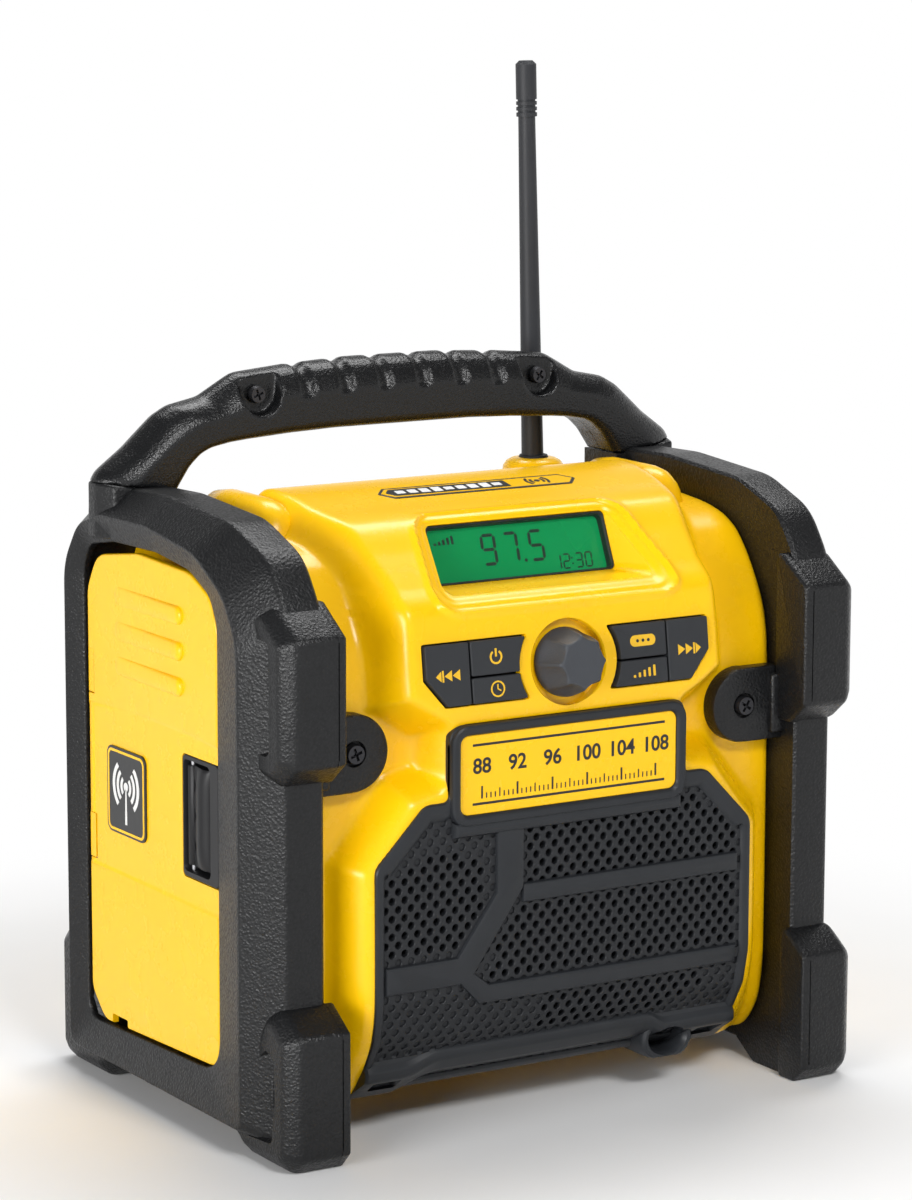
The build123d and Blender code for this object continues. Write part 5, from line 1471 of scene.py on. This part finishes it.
def key_marks(key, side):
    """Plain sign printed on a key."""
    board, level = KEY_BOARD, KEY_FACE
    u, v = side * 32.0, 5.0 if key in ("power_key", "mode_key") else -6.6
    if key in ("rewind_key", "forward_key"):
        middle = side * 52.2
        arrow, bar, last = ((0, 2.0), (3.1, 0), (0, -2.0)), ((2.2, 2.1), (2.9, 2.1), (2.9, -2.1), (2.2, -2.1)), (
            (3.3, 1.9), (5.6, 0), (3.3, -1.9))
        return [patch(board, [(middle + side * (u + shift), v) for u, v in shape][::-side], level)
                for shift, shape in ((-4.6, arrow), (-1.2, arrow), (0, bar), (0, last))]
    if key == "power_key":
        return [stroke(board, arc((u, v), 2.3, 125, 415, 22), 0.75, level),
                patch(board, box_outline(0.4, 1.5, 0.2, (u, v + 1.6), 2), level)]
    if key == "clock_key":
        return [stroke(board, arc((u, v), 2.7, 0, 360, 28), 0.6, level),
                stroke(board, [(u, v + 1.7), (u, v), (u + 1.3, v - 0.7)], 0.5, level)]
    if key == "mode_key":
        return [patch(board, box_outline(5.6, 2.1, 2.05, (u, v), 8), level)]
    return [patch(board, box_outline(0.5, 0.5 + 0.38 * index, 0.25, (u - 4.4 + 2.2 * index, v - 1.4 + 0.38 * index), 2),
                  level) for index in range(5)]


class RADIO_OT_keys(bpy.types.Operator):
    """Build the six keys and their plain signs"""

    bl_idname = "jobsite_radio.keys"
    bl_label = "Keys"

    def execute(self, context):
        shapes = key_shapes()
        for key, shape, side in KEYS:
            cap = prism(key + "_cap", KEY_BOARD, softened(sided(shapes[shape], side), 0.8, 3), -10.5, 1.6, 0.5, 3)
            dress(cap, "key_grey", key, key)
            dress(joined(key + "_sign", key_marks(key, side)), "legend_ink", key, slot="key_grey")
            if key == "mode_key":
                dots = [patch(KEY_BOARD, circle(0.62, 12, (32.0 + s, 5.0)), 1.74, 0.1) for s in (-2.4, 0, 2.4)]
                dress(joined("mode_key_dots", dots), "key_grey", key)
        return {"FINISHED"}


# height over the keys' plane, radius of the lands, and depth of the flutes
KNOB_PROFILE = [(-3.7, 12.4, 0.0), (-3.4, 12.8, 0.0), (-2.4, 12.9, 0.1), (-1.0, 12.8, 0.7), (1.5, 12.3, 1.35),
                (5.0, 11.4, 1.6), (8.4, 10.45, 1.55), (9.4, 10.1, 1.4), (9.95, 9.75, 1.1), (10.3, 9.25, 0.75),
                (10.48, 8.7, 0.4), (10.5, 8.2, 0.15), (10.44, 7.4, 0.0), (10.4, 3.0, 0.0), (10.4, 0.6, 0.0)]
FLUTES = 8


class RADIO_OT_knob(bpy.types.Operator):
    """Build the fluted tuning knob"""

    bl_idname = "jobsite_radio.knob"
    bl_label = "Tuning knob"

    def execute(self, context):
        angles = turn_angles(160)
        # hollow flutes with narrow rounded lands between them
        wave = np.abs(((angles / (2 * math.pi) * FLUTES) % 1) - 0.5) * 2
        hollow = np.clip(1 - (wave / 0.9) ** 2, 0, 1) ** 0.8
        rings = [[KEY_BOARD.at(r * math.cos(a), r * math.sin(a), height)
                  for r, a in zip(radius - depth * hollow, angles)] for height, radius, depth in KNOB_PROFILE]
        made = carved(loft("tuning_knob", rings, smooth_angle=38),
                      turned("bore", KEY_BOARD, [(3.05, -5.0), (3.05, 5.1)], 32))
        dress(soften_shading(made, 38), "knob_black", "knob", "knob")
        return {"FINISHED"}


# ---- side door and right cover
DOOR_EDGE = [(50.4, 24.9), (61.0, 35), (61.0, 191), (53.0, 204.6), (20, 209.4), (-21, 208), (-36.0, 201.5),
             (-41.3, 190), (-41.3, 28.4)]
DOOR_RADII = [9, 9, 12, 13, 30, 20, 9, 12, 8]


DOOR_BOARDS = {-1: LEFT, 1: RIGHT}
# first direction of the right plane, and height
DOOR_STEP = [(64, 84.5), (64, 147.0), (20, 149.5), (-20, 149.0), (-54, 147.0), (-54, 84.5)]
DOOR_NOTCH = [(43.8, 20), (43.8, 28.9), (31.2, 28.9), (31.2, 20)]


def door_skin(side):
    """Plate of the door with its lower field set back behind a soft step."""
    board = DOOR_BOARDS[side]
    outline = softened(sided(DOOR_EDGE, side), DOOR_RADII[::side], 4)
    step = stepped("step", board, softened(sided(DOOR_STEP, side), 2.0, 3),
                   ((1.5, 124.95), (0.9, 125.02), (0.1, 125.35), (-0.6, 125.6), (-1.0, 127.0)))
    notch = prism("notch", board, softened(sided(DOOR_NOTCH, side), 0.8, 2), 120.0, 130.0)
    return carved(prism("door", board, outline, DOOR_BACK, DOOR_FACE, 0.9, 4), step, notch)


def finger_ribs(name, side, body):
    """Three soft ridges for the fingers, repeated down the door."""
    board = DOOR_BOARDS[side]
    # each ridge rises from nothing at the back to its full height at the front
    rings = []
    for height, shrink in ((-0.9, 0.0), (0.0, 0.0), (0.5, 0.1), (1.0, 0.45), (1.35, 1.0), (1.55, 1.9), (1.6, 2.9)):
        edge = resampled(box_outline(27.0 - shrink, 3.5 - shrink, 3.4 - shrink, steps=8), 3.0)
        rise = 0.12 + 0.88 * np.clip((27.0 - side * edge[:, 0]) / 46.0, 0, 1)
        rings.append(np.column_stack([edge, height * rise if height > 0 else rise * 0 + height]))
    ridge = loft("ridge", rings)
    pattern = Pattern(name)
    laid = pattern.laid(pattern.shape("Ridge", ridge), Rotation=pattern.stored("turn"),
                        Scale=pattern.height("Ridge height"))
    places = [board.at(side * 11.2, z, DOOR_FACE) for z in (191.2, 178.0, 164.8)]
    made = pattern.spread(name, places, laid, turn=[facing_turn(board.u, board.v, board.n)] * 3)
    bpy.data.objects.remove(ridge)
    dress(made, "housing_yellow", body)


def wave_arcs(board, middle, rings, starts, sweep, count, height):
    """Broadcast sign's arcs: two facing ones for each (radius, width)."""
    return [stroke(board, arc(middle, radius, start, start + sweep, count), width, height)
            for radius, width in rings for start in starts]


def hinged_plate():
    """Door with its knuckles, the gaps between them and the hole for the latch."""
    pin = upright(*HINGE_PLACE)
    plate = carved(door_skin(-1), prism("recess", LEFT, box_outline(16.0, 23.0, 2.4, (29.5, 117.8)), 110.0, 130.0),
                   *(block((-130, -120), (55.8, 62), (low - 0.3, high + 0.3))
                     for low, high in ((87.0, 104.0), (151.0, 167.7))))
    plate = united(plate, *(turned("knuckle", pin, [(2.2, low), (2.5, low + 0.3), (2.5, high - 0.3), (2.2, high)], 32)
                            for low, high in ((66.0, 86.7), (104.3, 150.7), (168.0, 186.0))))
    plate = carved(plate, turned("bore", pin, [(1.25, 60), (1.25, 190)], 24))
    plate.name = "door_plate"
    return soften_shading(plate, 30)


def latch_tub():
    """Tub of the latch, set a little behind the door's face."""
    tub = united(prism("latch_tub", LEFT, box_outline(15.2, 24.6, 3.0, (25.9, 117.8)), 112.0, DOOR_BACK, 0.3),
                 prism("rim", LEFT, box_outline(13.65, 22.7, 2.2, (27.4, 117.8)), 122.0, 125.0, 0.5))
    well = [LEFT.lift(box_outline(w, h, 2.4, (24.7, 118.0)), x)
            for w, h, x in ((9.6, 20.0, 114.2), (9.9, 20.6, 124.2), (10.5, 21.2, 126.0))]
    return carved(tub, loft("well", well))


def latch_lever():
    """Lever of the latch, with finger hollows along its free edge and a barrel on its pin."""
    hub, middle = upright(*LATCH_PLACE), 118.0
    rings = []
    for z in np.linspace(99.2, 136.8, 61):
        end = math.sqrt(max(0.0, 1 - abs((z - middle) / 18.9) ** 5))
        comb = 0.5 + 0.5 * math.cos((z - middle) / 34.0 * 3 * 2 * math.pi)
        near = -0.6 - 2.4 * comb * end
        bulge = 1.0 + 2.5 * end
        section = [(1.4, 0.4), (1.2, near), (-0.4 * end - 0.6, near - 0.2), (-1.0 - 0.3 * bulge, -5.6),
                   (-0.6 - 0.75 * bulge, -7.4), (-0.7 - bulge * 0.93, -9.6), (-0.7 - bulge * 0.9, -11.6),
                   (-0.5 - 0.6 * bulge, -13.8), (-0.4, -15.2), (1.4, -15.4)]
        rings.append(hub.lift(section, z))
    lever = united(loft("paddle", rings, smooth_angle=50),
                   turned("barrel", hub, [(1.9, 99.4), (2.2, 99.8), (2.2, 136.2), (1.9, 136.6)], 24))
    return soften_shading(carved(lever, turned("bore", hub, [(1.05, 90), (1.05, 145)], 20)), 44)


class RADIO_OT_door(bpy.types.Operator):
    """Build the side door, its ribs, latch and badge"""

    bl_idname = "jobsite_radio.door"
    bl_label = "Side door"

    def execute(self, context):
        dress(hinged_plate(), "housing_yellow", "side_door", "side_door")
        finger_ribs("door_ribs", -1, "side_door")
        # badge with a plain broadcast wave
        badge = prism("badge", LEFT, box_outline(15.5, 16.5, 3.6, BADGE_MIDDLE, 8), 125.0, 125.75, 0.15)
        dress(badge, "badge_black", "side_door", "side_badge")
        line = [LEFT.lift(box_outline(15.5 - shrink, 16.5 - shrink, 3.6 - shrink * 0.7, BADGE_MIDDLE, 8), height)
                for shrink, height in ((0.9, 125.7), (0.9, 125.86), (1.9, 125.86), (1.9, 125.7))]
        dress(band("badge_line", line), "plate_yellow", "side_door", slot="badge_black")
        mast = (-30.0, 119.5)
        marks = wave_arcs(LEFT, mast, ((3.6, 1.5), (6.6, 1.7), (9.8, 1.9)), (-50, 130), 100, 16, BADGE_FACE)
        marks += [patch(LEFT, circle(1.7, 24, mast), BADGE_FACE),
                  patch(LEFT, [(-30.8, 105.0), (-29.2, 105.0), (-29.6, 118.5), (-30.4, 118.5)], BADGE_FACE)]
        dress(joined("badge_wave", marks), "badge_white", "side_door", slot="badge_black")
        dress(latch_tub(), "latch_black", "side_door", "latch_housing", slot="grille_black")
        dress(latch_lever(), "latch_black", "latch_paddle", "latch_paddle", slot="grille_black")
        return {"FINISHED"}


class RADIO_OT_right_cover(bpy.types.Operator):
    """Build the plain cover on the right side"""

    bl_idname = "jobsite_radio.right_cover"
    bl_label = "Right cover"

    def execute(self, context):
        outline = softened(DOOR_EDGE, DOOR_RADII, 4)
        skirt = band("skirt", [RIGHT.lift(inset(outline, shrink), height) for shrink, height in (
            (0.0, FRAME_ROOT), (0.0, 123.2), (2.5, 123.2), (2.5, FRAME_ROOT))])
        made = united(door_skin(1), skirt)
        made.name = "right_plate"
        dress(soften_shading(made, 30), "housing_yellow", "radio", "right_cover")
        finger_ribs("cover_ribs", 1, "radio")
        return {"FINISHED"}


class RADIO_OT_badge(bpy.types.Operator):
    """Build the plain strip on top"""

    bl_idname = "jobsite_radio.badge"
    bl_label = "Top strip"

    def execute(self, context):
        lean = math.hypot(20.0, 3.8)
        board = Board((0, -16.0, 229.3), (1, 0, 0), (0, 20.0 / lean, 3.8 / lean))
        outline = softened([(39.0, -5.5), (43.8, 0), (39.0, 5.5), (-39.0, 5.5), (-43.8, 0), (-39.0, -5.5)], 1.2, 3)
        dress(prism("top_strip", board, outline, -0.8, 0.42, 0.12), "badge_black", "radio", "top_badge")
        dress(prism("top_field", board, inset(outline, 1.15), 0.2, 0.47), "housing_yellow", "radio")
        flag = softened([(-37.5, -3.4), (13.0, -3.4), (13.0, 3.4), (-37.5, 3.4), (-40.2, 0.0)], 0.5, 2)
        mast = (26.5, 0.0)
        marks = [patch(board, flag, STRIP_FACE),
                 *wave_arcs(board, mast, ((2.7, 1.1), (4.6, 1.1)), (-42, 138), 84, 12, STRIP_FACE),
                 patch(board, circle(1.2, 16, mast), STRIP_FACE)]
        dress(joined("top_marks", marks), "badge_black", "radio")
        bars = [patch(board, box_outline(1.9, 1.5 + 0.28 * (index % 4), 0.3, (-34.0 + 5.3 * index, 0.0), 2), 0.56, 0.08)
                for index in range(9)]
        dress(joined("top_bars", bars), "badge_white", "radio", slot="badge_black")
        return {"FINISHED"}


# ---- fasteners and other nodes
class RADIO_OT_screws(bpy.types.Operator):
    """Build the screws that show"""

    bl_idname = "jobsite_radio.screws"
    bl_label = "Screws"

    def execute(self, context):
        for name, node, (x, z), depth, radius, height in (
            ("ear_screw_heads", "ear_screws", EAR_PLACE, 69.7, 3.9, 2.2),
            ("handle_screw_heads", "handle_screws", (63.2, 262.2), -41.0, 3.4, 2.0),
            ("stand_screw_heads", "frame_screws", STAND_PLACE, -38.6, 3.0, 1.8),
        ):
            screw_heads(name, FRONT, [FRONT.at(side * x, z, depth) for side in SIDES], radius, height, node)
        collar = [(5.9, 203), (5.9, 225.6), (5.6, 226.2), (5.2, 226.3), (4.4, 225.9), (1.0, 225.8)]
        dress(turned("antenna_collar", upright(*ANTENNA_PLACE), collar, 40), "part_black", "radio", "antenna_socket")
        docks = [BACK.at(side * 45.5, z, 78.9) for side in SIDES for z in (58.0, 98.0)]
        screw_heads("dock_screw_heads", BACK, docks, 3.0, 1.8, "dock_screws")
        return {"FINISHED"}


class RADIO_OT_other_nodes(bpy.types.Operator):
    """Finish the frame nodes whose shape is right as it is"""

    bl_idname = "jobsite_radio.other_nodes"
    bl_label = "Other pieces"

    def execute(self, context):
        for row in frame["record"]["subparts"]:
            node, slot = row["node"], row["material_slot"]
            if slot not in FINISHES:
                raise RuntimeError(f"no finish for slot {slot}")
            if not frame["nodes"][node].hide_render:
                dress_node(node, FINISHES[slot])
        return {"FINISHED"}


# ---- stage
# radius and height in millimetres
FLOOR_PROFILE = [(0, 0), (900, 0), (20000, 0), (26000, 3000), (30000, 13000), (30400, 13000), (26300, 2800),
                 (20000, -20), (0, -20)]
# name, place, target, width and height in metres, and share of the lamp power
LAMPS = (
    ("left_light", (-1.9, -0.85, 0.5), (0, 0, 0.14), 1.2, 0.75, 1.38),
    ("front_light", (-0.2, -2.1, 1.9), (0, 0, 0.12), 1.0, 0.5, 1.45),
    ("top_light", (0.5, 0.7, 1.9), (0, 0, 0.15), 1.5, 0.7, 1.15),
)
CAMERA_PLACE = (-0.7883176, -1.2727260, 0.4453226)  # metres
CAMERA_TURN = (31.7914, 9.9098, 0.1584)  # yaw, pitch and roll in degrees
CAMERA_LENS, SENSOR_HEIGHT = 119.645, 36.0
SHADOW_REACH = (0.19, 0.42)  # metres from the middle over which the floor turns to plain white


def add_floor():
    """Pale floor with a far raised rim; away from the radio it shows plain white, near it keeps the shadow."""
    floor = turned("floor", TOP, FLOOR_PROFILE, 96)
    finish = Finish("Pale floor")
    finish.set(Specular_IOR_Level=0.2)
    grain = finish.noise(60.0, 3.0)
    finish.colour(finish.between(grain, (0.86, 0.86, 0.86), (0.9, 0.9, 0.9)))
    finish.rough(0.6 + grain * 0.1)
    x, y = finish.axis(0), finish.axis(1)
    away = (x * x + y * y) ** 0.5
    rays = finish.node("ShaderNodeLightPath")
    seen = (Value(finish, rays.outputs["Is Camera Ray"]) + Value(finish, rays.outputs["Is Glossy Ray"])
            + Value(finish, rays.outputs["Is Transmission Ray"]))
    white = finish.node("ShaderNodeEmission", {}, {"Color": (1, 1, 1, 1), "Strength": 1.0})
    share = finish.level(away, *SHADOW_REACH) * seen
    blend = finish.node("ShaderNodeMixShader", {}, {0: share, 1: finish.shader.outputs[0], 2: white.outputs[0]})
    finish.feed(finish.tree.nodes["Material Output"].inputs["Surface"], blend.outputs[0])
    floor.data.materials.append(finish.material)


def add_camera():
    """Camera in front of the radio, to its left and a little above it."""
    yaw, pitch, roll = (math.radians(angle) for angle in CAMERA_TURN)
    ahead = np.array([math.sin(yaw) * math.cos(pitch), math.cos(yaw) * math.cos(pitch), -math.sin(pitch)])
    level = np.array([math.cos(yaw), -math.sin(yaw), 0.0])
    above = np.cross(level, ahead)
    right = math.cos(roll) * level + math.sin(roll) * above
    up = -math.sin(roll) * level + math.cos(roll) * above
    lens = bpy.data.cameras.new("camera")
    lens.sensor_fit, lens.sensor_height, lens.lens = "VERTICAL", SENSOR_HEIGHT, CAMERA_LENS
    lens.clip_start, lens.clip_end = 0.05, 60.0
    made = added("camera", lens)
    turn = Matrix([right, up, -ahead]).transposed().to_4x4()
    turn.translation = Vector(CAMERA_PLACE)
    made.matrix_world = turn
    return made


class RADIO_OT_stage(bpy.types.Operator):
    """Set up the floor, the soft studio light and the camera"""

    bl_idname = "jobsite_radio.stage"
    bl_label = "Stage"

    def execute(self, context):
        scene, sizes = context.scene, context.scene.jobsite_radio
        add_floor()
        scene.world = bpy.data.worlds.new("Studio")
        scene.world.use_nodes = True
        sky = scene.world.node_tree.nodes["Background"]
        sky.inputs["Color"].default_value = (1, 1, 1, 1)
        sky.inputs["Strength"].default_value = sizes.sky_level
        for name, place, target, width, height, share in LAMPS:
            lamp = bpy.data.lights.new(name, "AREA")
            lamp.shape, lamp.size, lamp.size_y, lamp.energy = "RECTANGLE", width, height, sizes.lamp_power * share
            made = added(name, lamp)
            made.location, made.rotation_mode = place, "QUATERNION"
            made.rotation_quaternion = (Vector(target) - Vector(place)).to_track_quat("-Z", "Y")
        scene.camera = add_camera()
        scene.view_settings.view_transform = "Standard"
        return {"FINISHED"}


# ---- add-on
class RadioSizes(bpy.types.PropertyGroup):
    """Sizes and colours a user may change"""

    housing_colour: FloatVectorProperty(name="Housing colour", description="Colour of the yellow mouldings",
                                        subtype="COLOR", size=3, default=(1.0, 0.575, 0.0), min=0, max=1)
    frame_colour: FloatVectorProperty(name="Frame colour", description="Colour of the side frames and handle",
                                      subtype="COLOR", size=3, default=(0.0035, 0.0037, 0.0042), min=0, max=1)
    display_colour: FloatVectorProperty(name="Display colour", description="Colour of the lit display",
                                        subtype="COLOR", size=3, default=(0.0, 0.33, 0.09), min=0, max=1)
    legend_colour: FloatVectorProperty(name="Legend colour", description="Colour of the signs on the keys",
                                       subtype="COLOR", size=3, default=(0.85, 0.50, 0.02), min=0, max=1)
    grain: FloatProperty(name="Grain", description="Size of the grain on black pieces, in millimetres", default=1.0,
                         min=0.2, max=4)
    skin_step: FloatProperty(name="Skin step", description="Spacing of the housing's skin, in millimetres", default=1.0,
                             min=0.8, max=6)
    handle_voxel: FloatProperty(name="Handle detail", description="Detail size of the handle, in millimetres",
                                default=0.85, min=0.5, max=4)
    hole_pitch: FloatProperty(name="Hole pitch", description="Distance between holes in a row, in millimetres",
                              default=5.36, min=3.5, max=10)
    hole_row: FloatProperty(name="Row pitch", description="Distance between rows of holes, in millimetres",
                            default=3.3, min=3, max=8)
    hole_radius: FloatProperty(name="Hole radius", description="Radius of the grille's holes, in millimetres",
                               default=1.38, min=0.5, max=1.6)
    lamp_power: FloatProperty(name="Lamp power", description="Power of the main lamp", subtype="POWER", unit="POWER",
                              default=24.0, min=0, max=1000)
    sky_level: FloatProperty(name="Sky level", description="Strength of the light from all round", default=0.2, min=0,
                             max=3)

STEPS = (RADIO_OT_housing, RADIO_OT_frames, RADIO_OT_handle, RADIO_OT_grille, RADIO_OT_name_plate, RADIO_OT_display,
         RADIO_OT_keys, RADIO_OT_knob, RADIO_OT_door, RADIO_OT_right_cover, RADIO_OT_badge, RADIO_OT_screws,
         RADIO_OT_other_nodes, RADIO_OT_stage)


class RADIO_PT_panel(bpy.types.Panel):
    """Steps that build the radio"""

    bl_idname = "RADIO_PT_panel"
    bl_label = "Jobsite Radio"
    bl_space_type = "VIEW_3D"
    bl_region_type = "UI"
    bl_category = "Jobsite Radio"

    def draw(self, context):
        for step in STEPS:
            self.layout.operator(step.bl_idname)
        for key in RadioSizes.__annotations__:
            self.layout.prop(context.scene.jobsite_radio, key)


CLASSES = (RadioSizes, *STEPS, RADIO_PT_panel)


def register():
    for cls in CLASSES:
        bpy.utils.register_class(cls)
    bpy.types.Scene.jobsite_radio = PointerProperty(type=RadioSizes)


def unregister():
    del bpy.types.Scene.jobsite_radio
    for cls in reversed(CLASSES):
        bpy.utils.unregister_class(cls)


def main():
    register()
    make_finishes(bpy.context.scene.jobsite_radio)
    for step in STEPS:
        group, action = step.bl_idname.split(".")
        getattr(getattr(bpy.ops, group), action)()


if __name__ == "__main__":
    main()
